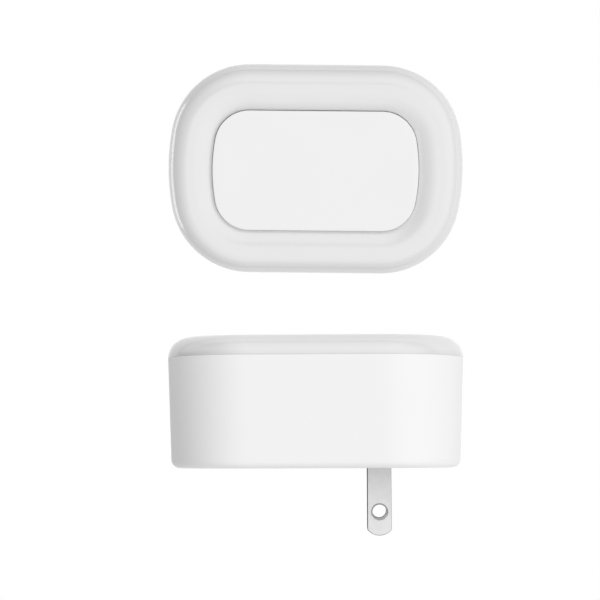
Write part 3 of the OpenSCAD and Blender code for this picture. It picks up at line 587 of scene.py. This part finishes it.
# %% Model the blades
blade_length, tip_radius = 17.2, 4.0
hole_distance, hole_radius, countersink = 11.2, 1.8, 0.4
shoulder_width, shoulder_height, tail_width, tail_height = 9.6, 1.3, 3.6, 6.6
blade_edge = 0.17
tip_steps, hole_steps = 16, 48
slack = 0.01  # how far a point may lie off and still count as on a line
face_on = 0.5  # a face counts as one of the two flats if its normal points more than this along Z


def draw_blade(place_y):
    """Draws one blade, centred on a distance across the body."""
    blade = bmesh.new()
    half = blade_width / 2
    tip = blade.verts.new((0, -blade_length, 0))
    bmesh.ops.spin(blade, geom=[tip], cent=(0, tip_radius - blade_length, 0), axis=(0, 0, 1),
                   angle=math.asin(half / tip_radius), steps=tip_steps)
    blade.verts.ensure_lookup_table()
    corner = max(blade.verts, key=lambda vert: vert.co.x)
    shoulder_top, tail_top = back_wall + shoulder_height, back_wall + tail_height
    outline = (
        (half, back_wall),
        (shoulder_width / 2, back_wall),
        (shoulder_width / 2, shoulder_top),
        (tail_width / 2, shoulder_top),
        (tail_width / 2, tail_top),
        (0, tail_top),
    )
    for x, y in outline:
        corner = bmesh.ops.extrude_vert_indiv(blade, verts=[corner])["verts"][0]
        corner.co = (x, y, 0)
    bmesh.ops.mirror(blade, geom=blade.verts[:] + blade.edges[:], axis="X", merge_dist=mirror_weld)
    bmesh.ops.create_circle(blade, segments=hole_steps, radius=hole_radius + countersink - blade_edge,
                            matrix=Matrix.Translation((0, -hole_distance, 0)))
    fill(blade, blade.edges[:])
    whole = blade_thickness - 2 * blade_edge
    raised = bmesh.ops.extrude_face_region(blade, geom=blade.faces[:])["geom"]
    lifted = [part for part in raised if isinstance(part, bmesh.types.BMVert)]
    bmesh.ops.translate(blade, vec=(0, 0, whole), verts=lifted)
    bmesh.ops.recalc_face_normals(blade, faces=blade.faces)
    flat = [face for face in blade.faces if abs(face.normal.z) > face_on]
    bmesh.ops.inset_region(blade, faces=flat, thickness=blade_edge, depth=blade_edge, use_even_offset=True,
                           use_boundary=True)
    bmesh.ops.translate(blade, vec=(0, 0, -whole / 2), verts=blade.verts)
    for level in (countersink, blade_thickness - countersink):
        bmesh.ops.bisect_plane(blade, geom=blade.verts[:] + blade.edges[:] + blade.faces[:],
                               plane_co=(0, 0, level - blade_thickness / 2), plane_no=(0, 0, 1))
    near_hole = hole_radius + countersink + slack
    straight_part = blade_thickness / 2 - countersink + slack
    for vert in blade.verts:
        from_hole = Vector((vert.co.x, vert.co.y + hole_distance))
        if from_hole.length < near_hole and abs(vert.co.z) < straight_part:
            from_hole.length = hole_radius
            vert.co.x, vert.co.y = from_hole.x, from_hole.y - hole_distance
    lay = Matrix.Translation((plug_offset, place_y, 0)) @ Matrix.Rotation(math.radians(90), 4, "X")
    bmesh.ops.transform(blade, matrix=lay, verts=blade.verts)
    return blade


# %% [markdown]
# ## Plated and drawn metal
# The blades are brass, tumbled smooth and plated with dull nickel. Screws are zinc plated, pins are
# gold flashed and springs are drawn wire. Each shows fine marks, round or longer one way: a noise that
# is stretched to their shape drives the roughness, a slight change of colour and a shallow bump.

# %% Write the metal finish and dress the blades
def metal(name, colour, roughness, marks_size, depth=0.001, spread=0.08, tone=0.08):
    """Tumbled, plated or drawn metal. marks_size is how long its marks are along X, Y and Z in mm.
    spread and tone are how far the roughness and the colour vary between them."""
    material = start_material(name, {"Metallic": 1.0, "Base Color": srgb(colour)})
    tree, _, spots = inside(material)
    scale = tuple(1 / (length * MM) for length in marks_size)
    stretched = add_node(tree, "VectorMath", {"operation": "MULTIPLY", 1: scale}, {0: spots["Object"]})
    marks = add_node(tree, "TexNoise", {"Scale": 1.0, "Detail": 3.0}, {"Vector": stretched})
    paint_over(material, marks, darker(colour, tone))
    roughen(material, roughness, spread, marks, depth, marks)
    return material


# Dull nickel plate over tumbled brass: neutral grey and satin, mottled at about a millimetre.
blade_nickel = metal("blade_nickel_tumbled_plate", "#DEDEDE", 0.4, (1.1, 1.6, 1.1), depth=0.002, tone=0.12)
# The die rubs the broken edges and the hole bright, so they mirror the studio in thin lines. Shade is
# painted on the plate's colour: it turns darker towards the back wall, where the housing shades the blades.
flat_band, burnished, root_painted_shade = 0.01, 0.1, 0.28
tree, shader, spots = inside(blade_nickel)
along = add_node(tree, "SeparateXYZ", None, {0: spots["Object"]}).outputs
from_middle = add_node(tree, "Math", {"operation": "ABSOLUTE"}, {0: along["X"]})
off_flats = add_node(tree, "Math", {
    "operation": "COMPARE",
    1: blade_pitch / 2 * MM,
    2: (blade_thickness / 2 - flat_band) * MM,
}, {0: from_middle})
rubbed = add_node(tree, "Mix", {3: burnished}, {
    0: off_flats, 2: shader.inputs["Roughness"].links[0].from_socket})
tree.links.new(rubbed.outputs[0], shader.inputs["Roughness"])
# Painted shade: the colour darkens from the tips towards the back wall.
painted_blade_shade = add_node(tree, "MapRange", {"From Max": blade_length * MM, "To Min": root_painted_shade, "To Max": 0.0},
                {"Value": along["Y"]})
paint_over(blade_nickel, painted_blade_shade, srgb("#9A9A9A"))
for blade_name, side in (("line_blade", 1), ("neutral_blade", -1)):
    blade_mesh = draw_blade(side * blade_pitch / 2)
    finish_piece(f"{blade_name}_stamped", blade_mesh, "light", [blade_name], blade_nickel)

# %% [markdown]
# ## Bare wire on coated parts
# The parts on the boards have coats of resin, lacquer or plastic over most of their length and bare
# tinned wire elsewhere. The CAD node holds both, so a mask in the material tells them apart by place.
# A Compare node makes the mask: it gives 1 where a value lies within a reach of another, and 0 elsewhere.

# %% Mask the bare wire
tinned = "#C6C8CA"
board_thickness, stand_off = 1.6, 0.6
body_reach = 40.0  # half of a depth that holds any of the parts


def bare_metal(material, axis, middle, reach):
    """Shows tinned metal where a place along an axis lies further than a reach from a middle, in mm."""
    tree, shader, spots = inside(material)
    along = add_node(tree, "SeparateXYZ", None, {0: spots["Object"]}).outputs[axis]
    coated = add_node(tree, "Math", {"operation": "COMPARE", 1: middle * MM, 2: reach * MM}, {0: along})
    bare = add_node(tree, "Math", {"operation": "SUBTRACT", 0: 1.0}, {1: coated})
    paint_over(material, bare, srgb(tinned))
    tree.links.new(bare.outputs["Value"], shader.inputs["Metallic"])
    return material


boxes = {name: [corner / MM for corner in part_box(name)] for name in frame["nodes"]}
middles = {name: (low + high) / 2 for name, (low, high) in boxes.items()}
standing = power_board_base + board_thickness + stand_off
above_legs = ("Y", -(standing + body_reach), body_reach)
print("parts' bodies start", standing, "mm off the wall")

# %% [markdown]
# ## The plastic pieces inside
# The clamp is a heat resistant resin, the frame is glossy white to throw light into the ring, and the
# switch, its plunger and the header are small moulded parts. They all keep their CAD shapes.

# %% Dress the plastic pieces
finishes = {
    # Urea resin: ivory, slightly speckled by its filler, and nearly matt.
    "clamp_ivory": moulded(
        "clamp_ivory_urea_resin", "#E8E0C8", 0.55, grain=0.25, depth=0.002, drift=1.2, cloud=0.06),
    # Reflector grade polycarbonate: very white and smooth, with a clear gloss.
    "frame_white": moulded(
        "frame_white_reflector", "#F6F6F4", 0.22, grain=1.0, depth=0.0005, drift=25, cloud=0.01),
    # Glass filled nylon: grey, with the fibres as a coarse dull mottle.
    "switch_grey": moulded(
        "switch_grey_filled_nylon", "#5C6064", 0.5, grain=0.2, depth=0.004, drift=0.8, cloud=0.18),
    # Acetal: near black, waxy and smooth where it slides.
    "plunger_black": moulded(
        "plunger_black_acetal", "#1B1B1D", 0.3, grain=0.8, depth=0.0005, drift=4, cloud=0.2),
    # Nylon strip: black and a little grainy.
    "strip_black": moulded(
        "strip_black_nylon", "#1E1E20", 0.45, grain=0.2, depth=0.003, drift=2, cloud=0.25),
    # Extruded soft vinyl: a smooth skin with slow waves from the die.
    "lead_black": moulded(
        "lead_black_extruded_vinyl", "#202022", 0.35, grain=1.4, depth=0.02, drift=5, cloud=0.2),
    "lead_white": moulded(
        "lead_white_extruded_vinyl", "#E6E5E1", 0.35, grain=1.4, depth=0.02, drift=5, cloud=0.05),
}
print("plastic finishes:", len(finishes))

# %% [markdown]
# ## Metal parts inside
# Screws, pins and springs take the metal finish with marks at their own scale: short and even on zinc
# plate, along the pin on gold flash and in very fine rings on drawn wire.

# %% Dress the metal parts
finishes |= {
    # Bright zinc plate: bluish grey, slightly mottled by the bath.
    "screw_steel": metal("screw_steel_zinc_plate", "#BEC2C6", 0.32, (0.5, 0.5, 0.5), tone=0.15),
    # Gold flash over drawn brass: thin, warm and shiny, with lines along the pin.
    "pin_gold": metal("pin_gold_flashed_brass", "#D9BB66", 0.25, (0.08, 2.5, 0.08), tone=0.12),
    # Drawn spring wire: grey, with a greasy shine.
    "spring_steel": metal("spring_steel_drawn_wire", "#A9ABAE", 0.3, (0.4, 0.12, 0.4), tone=0.2),
}
print("finishes so far:", len(finishes))

# %% [markdown]
# ## The return springs
# Four springs push the panel back. Each is drawn wire, coiled on a mandrel, and its end turns are closed
# so that it stands flat. A ring of points is spun round the post while it climbs: slowly over the end
# turns and faster between them.

# %% Model the springs
spring_wire, spring_radius = 0.45, 2.925
closed_turns, open_turns = 1, 3  # the closed turns are at each end
wire_sides, turn_steps = 10, 28

spring_length = panel_under - floor_top
open_pitch = (spring_length - (2 * closed_turns + 1) * spring_wire) / open_turns
winding = ((closed_turns, spring_wire), (open_turns, open_pitch), (closed_turns, spring_wire))
springs = bmesh.new()
for x, y, _, _ in posts:
    start = Matrix.Translation((x + spring_radius, y, floor_top + spring_wire / 2))
    points = bmesh.ops.create_circle(springs, segments=wire_sides, radius=spring_wire / 2,
                                     matrix=start @ Matrix.Rotation(math.radians(90), 4, "X"))["verts"]
    tip = points + edges_of(points)
    for turns, pitch in winding:
        tip = bmesh.ops.spin(springs, geom=tip, cent=(x, y, 0), axis=(0, 0, 1), angle=math.tau * turns,
                             steps=turn_steps * turns, dvec=(0, 0, pitch / turn_steps))["geom_last"]
bmesh.ops.holes_fill(springs, edges=springs.edges[:], sides=0)
springs_piece = finish_piece("return_springs_coiled", springs, "light", ["return_springs"],
                             finishes["spring_steel"], sharp=60)
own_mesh(springs_piece)

# %% [markdown]
# ## Circuit boards
# A board is woven glass cloth in resin under a coloured solder mask. The weave telegraphs through as a
# faint grid, and the copper areas show as paler fields with thin gaps between them. Two crossed waves
# make the weave and a brick pattern makes the copper, both in the plane of the board.

# %% Dress the boards
weave_spacing = 0.8  # a thread is 0.4 mm, drawn twice as wide so that it shows
weave_depth, weave_shade = 0.006, 0.12
wave_scale = math.tau / (20 * weave_spacing * MM)  # the wave texture repeats every tau / 20 at scale 1
track_gap = 0.22
mask_roughness, mask_spread = 0.36, 0.06


def laminate(name, mask, copper, gap, fields):
    """Glass cloth laminate. mask, copper and gap are the colours of the mask over bare board, over
    copper and in the gaps. fields is the length and width of the copper areas in mm."""
    material = start_material(name, {"IOR": 1.5, "Coat Weight": 0.3, "Coat Roughness": 0.15})
    tree, shader, spots = inside(material)
    threads = [
        add_node(tree, "TexWave", {"bands_direction": way, "Scale": wave_scale},
                 {"Vector": spots["Object"]}).outputs["Fac"]
        for way in ("X", "Z")
    ]
    weave = add_node(tree, "Math", {"operation": "MULTIPLY"}, dict(enumerate(threads)))
    in_mm = add_node(tree, "Mapping", {"Rotation": (math.radians(90), 0, 0), "Scale": (1 / MM,) * 3},
                     {"Vector": spots["Object"]})
    areas = add_node(tree, "TexBrick", {
        "Color1": srgb(copper), "Color2": srgb(mask), "Mortar": srgb(gap), "Scale": 1.0,
        "Mortar Size": track_gap, "Brick Width": fields[0], "Row Height": fields[1]}, {"Vector": in_mm})
    shade = add_node(tree, "Mix", {"data_type": "RGBA", "blend_type": "MULTIPLY", 0: weave_shade},
                     {6: areas, 7: weave})
    tree.links.new(shade.outputs[2], shader.inputs["Base Color"])
    roughen(material, mask_roughness, mask_spread, weave, weave_depth, weave)
    return material


finishes |= {
    # Green mask on wide mains tracks.
    "board_green": laminate("board_green_masked_laminate", "#245C36", "#3A7B46", "#173F26", (9.0, 4.0)),
    # White mask on an LED board, where the copper barely shows.
    "board_white": laminate("board_white_masked_laminate", "#E9EBE6", "#F1F2EE", "#D8DAD3", (6.0, 3.0)),
}
print("finishes so far:", len(finishes))

# %% [markdown]
# ## Power parts
# These stand on the power board on tinned legs. The boxed capacitor is potted in a yellow moulded box,
# the round one has a shrunk sleeve, the rectifier and chips are black epoxy and the varistor is dipped.

# %% Dress the power parts
finishes |= {
    # Flame retardant box and epoxy fill: mustard yellow and slightly uneven.
    "film_capacitor": bare_metal(
        moulded("film_capacitor_moulded_box", "#C9A227", 0.4, grain=0.4, depth=0.003, drift=6, cloud=0.1),
        *above_legs),
    # Dipped epoxy: glossy blue with soft runs.
    "varistor_blue": bare_metal(
        moulded("varistor_blue_dipped_epoxy", "#2F5FA8", 0.15, grain=3.0, depth=0.08, drift=3, cloud=0.15),
        *above_legs),
    # Transfer moulded epoxy: charcoal, dull and finely pitted.
    "chip_black": moulded(
        "chip_black_moulded_epoxy", "#232427", 0.5, grain=0.12, depth=0.004, drift=1.5, cloud=0.2),
}


def sleeve(name, colour, stripe_colour, node, stripe_width):
    """A shrunk plastic sleeve with a pale stripe that marks the negative side, on a bare metal can."""
    material = moulded(name, colour, 0.25, grain=2.0, depth=0.01, drift=5, cloud=0.15)
    tree, _, spots = inside(material)
    along = add_node(tree, "SeparateXYZ", None, {0: spots["Object"]}).outputs
    in_stripe = add_node(tree, "Math", {
        "operation": "COMPARE", 1: middles[node].z * MM, 2: stripe_width / 2 * MM}, {0: along["Z"]})
    one_side = add_node(tree, "Math", {"operation": "GREATER_THAN", 1: middles[node].x * MM},
                        {0: along["X"]})
    stripe = add_node(tree, "Math", {"operation": "MULTIPLY"}, {0: in_stripe, 1: one_side})
    paint_over(material, stripe, srgb(stripe_colour))
    return bare_metal(material, *above_legs)


# Vinyl shrunk over the can: navy and shiny, tight at the edges.
finishes["can_sleeve"] = sleeve("can_sleeve_shrunk_vinyl", "#26304A", "#B9BEC8", "smoothing_capacitor", 2.4)
print("finishes so far:", len(finishes))

# %% [markdown]
# ## Resistors and light emitting diodes
# A wire resistor has a lacquered body with colour bands, and its wires come out at its ends. Each band is
# painted over the lacquer where a mask along the body says. A diode is a white package with a dish of
# yellow phosphor, so its colour depends on which way the face points and how deep it lies.

# %% Dress the resistors and the diodes
half_band = 0.04  # as a share of the body's length
lacquer_end, dish_lip = 0.05, 0.05
tilt_limit = -0.2  # a face that looks towards the room has a lower Y than this in its direction


def banded(name, lacquer, bands, node, body_length):
    """Lacquer with colour bands. Each band is (middle as a share of the body's length, colour)."""
    material = moulded(name, lacquer, 0.25, grain=1.0, depth=0.01, drift=3, cloud=0.1)
    tree, _, spots = inside(material)
    along = add_node(tree, "SeparateXYZ", None, {0: spots["Object"]}).outputs["Z"]
    start = middles[node].z - body_length / 2
    for middle, colour in bands:
        band = add_node(tree, "Math", {
            "operation": "COMPARE",
            1: (start + middle * body_length) * MM,
            2: half_band * body_length * MM,
        }, {0: along})
        paint_over(material, band, srgb(colour))
    return bare_metal(material, "Z", middles[node].z, body_length / 2 + lacquer_end)


def diodes(name, package, phosphor, node):
    """White packages whose dishes, which face the room a little below the top, hold phosphor."""
    material = moulded(name, package, 0.3, grain=0.3, depth=0.001, drift=2, cloud=0.03)
    tree, _, spots = inside(material)
    towards_room = add_node(tree, "SeparateXYZ", None, {0: spots["Normal"]}).outputs["Y"]
    height = add_node(tree, "SeparateXYZ", None, {0: spots["Object"]}).outputs["Y"]
    open_side = add_node(tree, "Math", {"operation": "LESS_THAN", 1: tilt_limit}, {0: towards_room})
    lower = add_node(tree, "Math", {
        "operation": "GREATER_THAN", 1: (boxes[node][0].y + dish_lip) * MM}, {0: height})
    dish = add_node(tree, "Math", {"operation": "MULTIPLY"}, {0: open_side, 1: lower})
    paint_over(material, dish, srgb(phosphor))
    return material


brown, black, yellow, gold = "#5A3A22", "#1C1C1C", "#D8B82A", "#B8963C"
finishes |= {
    # Flameproof lacquer: matt grey blue. Brown, black, black, gold: a low value.
    "resistor_blue": banded("resistor_blue_lacquer", "#7FA6BF", [
        (0.2, brown), (0.4, black), (0.6, black), (0.8, gold)], "fusible_resistor", 9.0),
    # Carbon film lacquer: tan. Brown, black, yellow, gold: a high value.
    "resistor_tan": banded("resistor_tan_lacquer", "#C8A77A", [
        (0.2, brown), (0.4, black), (0.6, yellow), (0.8, gold)], "bleed_resistors", 6.3),
    # White package with phosphor in silicone: warm yellow and slightly grainy.
    "led_body": diodes("led_body_phosphor_package", "#F0F0EC", "#E8D25A", "leds"),
}
print("finishes inside:", len(finishes))

# %% [markdown]
# ## The finishes go on
# Apart from the springs, the inner pieces keep their CAD shapes, so each one only swaps the plain
# material that it came with. The record says which finish a node has. A node whose finish isn't in the
# list belongs to the outside, which is modelled above.

# %% Give each inner node its finish
node_slots = {part["node"]: part["material_slot"] for part in frame["record"]["subparts"]}
dressed = 0
for node_name, cad_object in frame["nodes"].items():
    if node_slots[node_name] in finishes:
        cad_object.data.materials.clear()
        cad_object.data.materials.append(finishes[node_slots[node_name]])
        dressed += 1
print("CAD nodes dressed:", dressed)

# %% [markdown]
# ## The studio
# A pale studio lights the object from above, from below and from the plug end, and only weakly from the
# other end. The world gives this light: its brightness depends on how far a direction is from the
# camera's and on its side. One colour ramp for each side holds it.

# %% Light the studio
# For each side: angle away from the camera in degrees, and how bright the studio is there. Lamps shine
# up to about 70 degrees, a darker gap follows, and then comes the white wall behind the light.
studio = {
    (0, 0, 1): [(0, 0.9), (15, 1.5), (55, 1.5), (70, 1.0), (80, 0.4), (95, 1.2), (115, 1.0)],
    (0, -1, 0): [(0, 0.9), (12, 1.7), (32, 1.65), (55, 1.0), (70, 0.7), (80, 0.1), (92, 1.2), (115, 1.0)],
    (0, 0, -1): [(0, 0.9), (12, 0.6), (35, 0.6), (52, 0.42), (65, 0.05), (90, 0.0), (98, 0.25),
                 (106, 0.45), (114, 0.25), (124, 0.2), (150, 0.15)],
    (0, 1, 0): [(0, 0.9), (12, 1.7), (55, 1.6), (68, 0.8), (85, 0.8), (98, 0.3), (115, 1.0)],
}
brightest = 2.0  # the ramps hold brightness as a share of this
lamp_level = 0.915
half_turn = 180
behind_limit = -0.5  # a direction whose part towards the camera is less than this lies behind the light
world = bpy.data.worlds.new("studio")
bpy.context.scene.world = world
world.use_nodes = True
sky = world.node_tree
sky.nodes.clear()
direction = add_node(sky, "TexCoord").outputs["Generated"]
forward = add_node(sky, "VectorMath", {"operation": "DOT_PRODUCT", 1: (1, 0, 0)},
                   {0: direction}).outputs["Value"]
angle = add_node(sky, "Math", {"operation": "ARCCOSINE"}, {0: forward})
turn = add_node(sky, "Math", {"operation": "DIVIDE", 1: math.pi}, {0: angle})
sine = add_node(sky, "Math", {"operation": "SINE"}, {0: angle})
light = None
for side, stops in studio.items():
    along = add_node(sky, "VectorMath", {"operation": "DOT_PRODUCT", 1: side}, {0: direction})
    share = add_node(sky, "Math", {"operation": "DIVIDE", "use_clamp": True},
                     {0: along.outputs["Value"], 1: sine})
    weight = add_node(sky, "Math", {"operation": "POWER", 1: 2.0}, {0: share})
    ramp = add_node(sky, "ValToRGB", None, {0: turn})
    ramp.color_ramp.interpolation = "EASE"
    for degrees, brightness in stops:
        mark = ramp.color_ramp.elements.new(degrees / half_turn)
        mark.color = (*[brightness / brightest] * 3, 1)
    ramp.color_ramp.elements.remove(ramp.color_ramp.elements[0])
    ramp.color_ramp.elements.remove(ramp.color_ramp.elements[-1])
    part = add_node(sky, "Math", {"operation": "MULTIPLY"}, {0: ramp, 1: weight})
    light = add_node(sky, "Math", {"operation": "ADD"}, {0: light, 1: part}) if light else part
level = add_node(sky, "Math", {"operation": "MULTIPLY", 1: brightest * lamp_level}, {0: light})
print("sides of the studio:", len(studio))

# %% [markdown]
# ## White behind the light
# The camera sees plain white round the object, as in front of a lit paper wall, and so do rays that pass
# through clear material. Reflections see that white only in directions that lie behind the object, so
# metal and gloss still show the dark gaps at the studio's sides. Light Path tells these rays apart.

# %% Show plain white behind the light
white = srgb("#FFFFFF")
lamp_light = add_node(sky, "Background", {"Color": white}, {"Strength": level})
backdrop = add_node(sky, "Background", {"Color": white, "Strength": 1.0})
ray = add_node(sky, "LightPath").outputs
behind = add_node(sky, "Math", {"operation": "LESS_THAN", 1: behind_limit}, {0: forward})
mirrored = add_node(sky, "Math", {"operation": "MULTIPLY"}, {0: behind, 1: ray["Is Glossy Ray"]})
seen = add_node(sky, "Math", {"operation": "MAXIMUM"},
                {0: ray["Is Camera Ray"], 1: ray["Is Transmission Ray"]})
seen_all = add_node(sky, "Math", {"operation": "MAXIMUM"}, {0: seen, 1: mirrored})
both = add_node(sky, "MixShader", None, {0: seen_all, 1: lamp_light, 2: backdrop})
add_node(sky, "OutputWorld", None, {"Surface": both})
print("nodes in the studio:", len(sky.nodes))

# %% [markdown]
# ## Soft boxes
# Each of the two views has lamps of its own, as when each is shot in turn. Two soft boxes light the side
# view: a large one over the ring's crest and a weak one at the end away from the plug. They are area
# lights that the camera doesn't see, placed by angles from the camera so that they stay plain to read.

# %% Add two soft boxes
def add_soft_box(name, middle, towards, upright, width, length, power):
    """Adds a soft box that the camera doesn't see. It stands towards a direction and shines back along it.
    Its middle, width and length are in metres, and its length runs as upright as it can."""
    lamp = bpy.data.lights.new(name, "AREA")
    lamp.shape = "RECTANGLE"
    lamp.size, lamp.size_y, lamp.energy = width, length, power
    box = bpy.data.objects.new(name, lamp)
    upright = (upright - towards * upright.dot(towards)).normalized()
    turned = Matrix((upright.cross(towards), upright, towards)).transposed()
    box.matrix_world = Matrix.Translation(middle) @ turned.to_4x4()
    box.visible_camera = False
    bpy.context.scene.collection.objects.link(box)
    print(name, "at", [round(c, 2) for c in middle], "m")


crest_middle = Vector((0, -ring_top, -plug_offset)) * MM
# Each box: its name, how far left of the camera and how far up it is in degrees, its distance, which way
# its length runs, its width and length in mm, and its power in watts.
soft_boxes = (
    ("top_box", 0.0, 64.0, 300.0, (0, 0, 1), 260.0, 340.0, 0.105),
    ("left_box", 84.0, 24.0, 250.0, (0, -1, 0), 220.0, 110.0, 0.035),
)
for box_name, left, rise_up, distance, upright, width, length, power in soft_boxes:
    left, rise_up = math.radians(left), math.radians(rise_up)
    to_box = Vector((
        math.cos(left) * math.cos(rise_up),
        -math.sin(rise_up),
        -math.sin(left) * math.cos(rise_up),
    ))
    add_soft_box(box_name, crest_middle + to_box * distance * MM, to_box, Vector(upright),
                 width * MM, length * MM, power)

# %% [markdown]
# ## The floor
# The floor is a sheet of white paper far below the light, seen only by the camera. It fades to white
# towards its edges, as a seamless sheet does, so no edge shows.

# %% Lay the floor
floor_drop, floor_half = 200.0, 600.0
fade_start, fade_least = 100.0, 0.25  # how far out the fade begins, and how white it is before
floor_mesh = bmesh.new()
bmesh.ops.create_grid(floor_mesh, x_segments=1, y_segments=1, size=floor_half * MM,
                      matrix=Matrix.Translation((0, 0, cad_box[0].z - floor_drop * MM)))
floor_data = bpy.data.meshes.new("floor")
floor_mesh.to_mesh(floor_data)
floor_mesh.free()
floor = bpy.data.objects.new("floor", floor_data)
bpy.context.scene.collection.objects.link(floor)
floor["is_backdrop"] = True
floor.visible_diffuse = floor.visible_glossy = floor.visible_transmission = floor.visible_shadow = False
paper = start_material("floor_white_paper", {
    "Base Color": srgb("#F4F4F4"), "Roughness": 0.9, "Specular IOR Level": 0.1})
tree, shader, spots = inside(paper)
floor_ray = add_node(tree, "LightPath").outputs
lift = add_node(tree, "Emission", None, {"Strength": floor_ray["Is Camera Ray"]})
level_only = add_node(tree, "VectorMath", {"operation": "MULTIPLY", 1: (1, 1, 0)}, {0: spots["Object"]})
from_light = add_node(tree, "VectorMath", {"operation": "LENGTH"}, {0: level_only}).outputs["Value"]
fade = add_node(tree, "MapRange", {
    "interpolation_type": "SMOOTHSTEP",
    "From Min": fade_start * MM,
    "From Max": floor_half * MM,
    "To Min": fade_least,
}, {"Value": from_light})
faded = add_node(tree, "MixShader", None, {0: fade, 1: shader, 2: lift})
tree.links.new(faded.outputs["Shader"], tree.nodes["Material Output"].inputs["Surface"])
floor_data.materials.append(paper)
print("the floor lies", floor_drop, "mm below the light")

# %% [markdown]
# ## The second view
# The face is shown by an instance of the collection that holds every piece, so it is the same light in
# the same pose and not a second model. It stands far behind, turned to the camera, and is enlarged by
# as much as it is further away. It is stage, like the floor.

# %% Show the face above the side
face_scale = 3.868  # image points for each millimetre at the rim's middle
face_centre_points = (315.5, 169.6)
face_distance = 14.0  # how many times as far away as it looks
face_tip, face_roll = 5.0, -0.57

on_sheet = bpy.data.collections.new("night_light")
bpy.context.scene.collection.children.link(on_sheet)
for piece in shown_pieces():
    on_sheet.objects.link(piece)
depth = focal_points / face_scale
sight = Vector((
    (face_centre_points[0] - image_size / 2) / focal_points,
    (image_size / 2 - face_centre_points[1]) / focal_points,
    -1,
))
face_place = camera.matrix_world @ (sight * depth * MM * face_distance)
to_camera = (camera.matrix_world.to_3x3() @ -sight).normalized()
camera_right = camera.matrix_world.to_3x3() @ Vector((1, 0, 0))
face_right = (camera_right - to_camera * camera_right.dot(to_camera)).normalized()
face_up = to_camera.cross(face_right)
# The light's own +Z goes to the right, its -X goes up and its face, -Y, goes to the camera.
face_turn = Matrix((-face_up, -to_camera, face_right)).transposed()
rim_centre = Vector((0, -housing_depth, -plug_offset)) * MM
second_view = bpy.data.objects.new("second_view", None)
second_view.instance_type = "COLLECTION"
second_view.instance_collection = on_sheet
tip = Matrix.Rotation(math.radians(face_tip), 4, face_right)
roll = Matrix.Rotation(math.radians(face_roll), 4, to_camera)
second_view.matrix_world = (
    Matrix.Translation(face_place)
    @ roll @ tip
    @ face_turn.to_4x4()
    @ Matrix.Scale(face_distance, 4)
    @ Matrix.Translation(-rim_centre)
)
bpy.context.scene.collection.objects.link(second_view)
second_view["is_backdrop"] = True
print("second view at", [round(c, 2) for c in second_view.matrix_world.translation])

# %% [markdown]
# ## A strip for the second view
# The left edge of the ring needs a bright line in the second view, which a narrow strip lamp beside it
# gives. It is turned away from the camera, so that its light doesn't reach the side view. Its sizes and
# its distance are enlarged like the second view.

# %% Light its left edge
strip_distance, strip_width, strip_length = 150.0, 52.0, 160.0
strip_turn, strip_facing = 104.0, 70.0
strip_power = 12.0


def left_of_camera(degrees):
    """A direction from the face, turned to the left of the camera."""
    return to_camera * math.cos(math.radians(degrees)) - face_right * math.sin(math.radians(degrees))


enlarged = MM * face_distance
strip_middle = face_place + left_of_camera(strip_turn) * strip_distance * enlarged
add_soft_box("edge_strip", strip_middle, left_of_camera(strip_facing), face_up, strip_width * enlarged,
             strip_length * enlarged, strip_power)
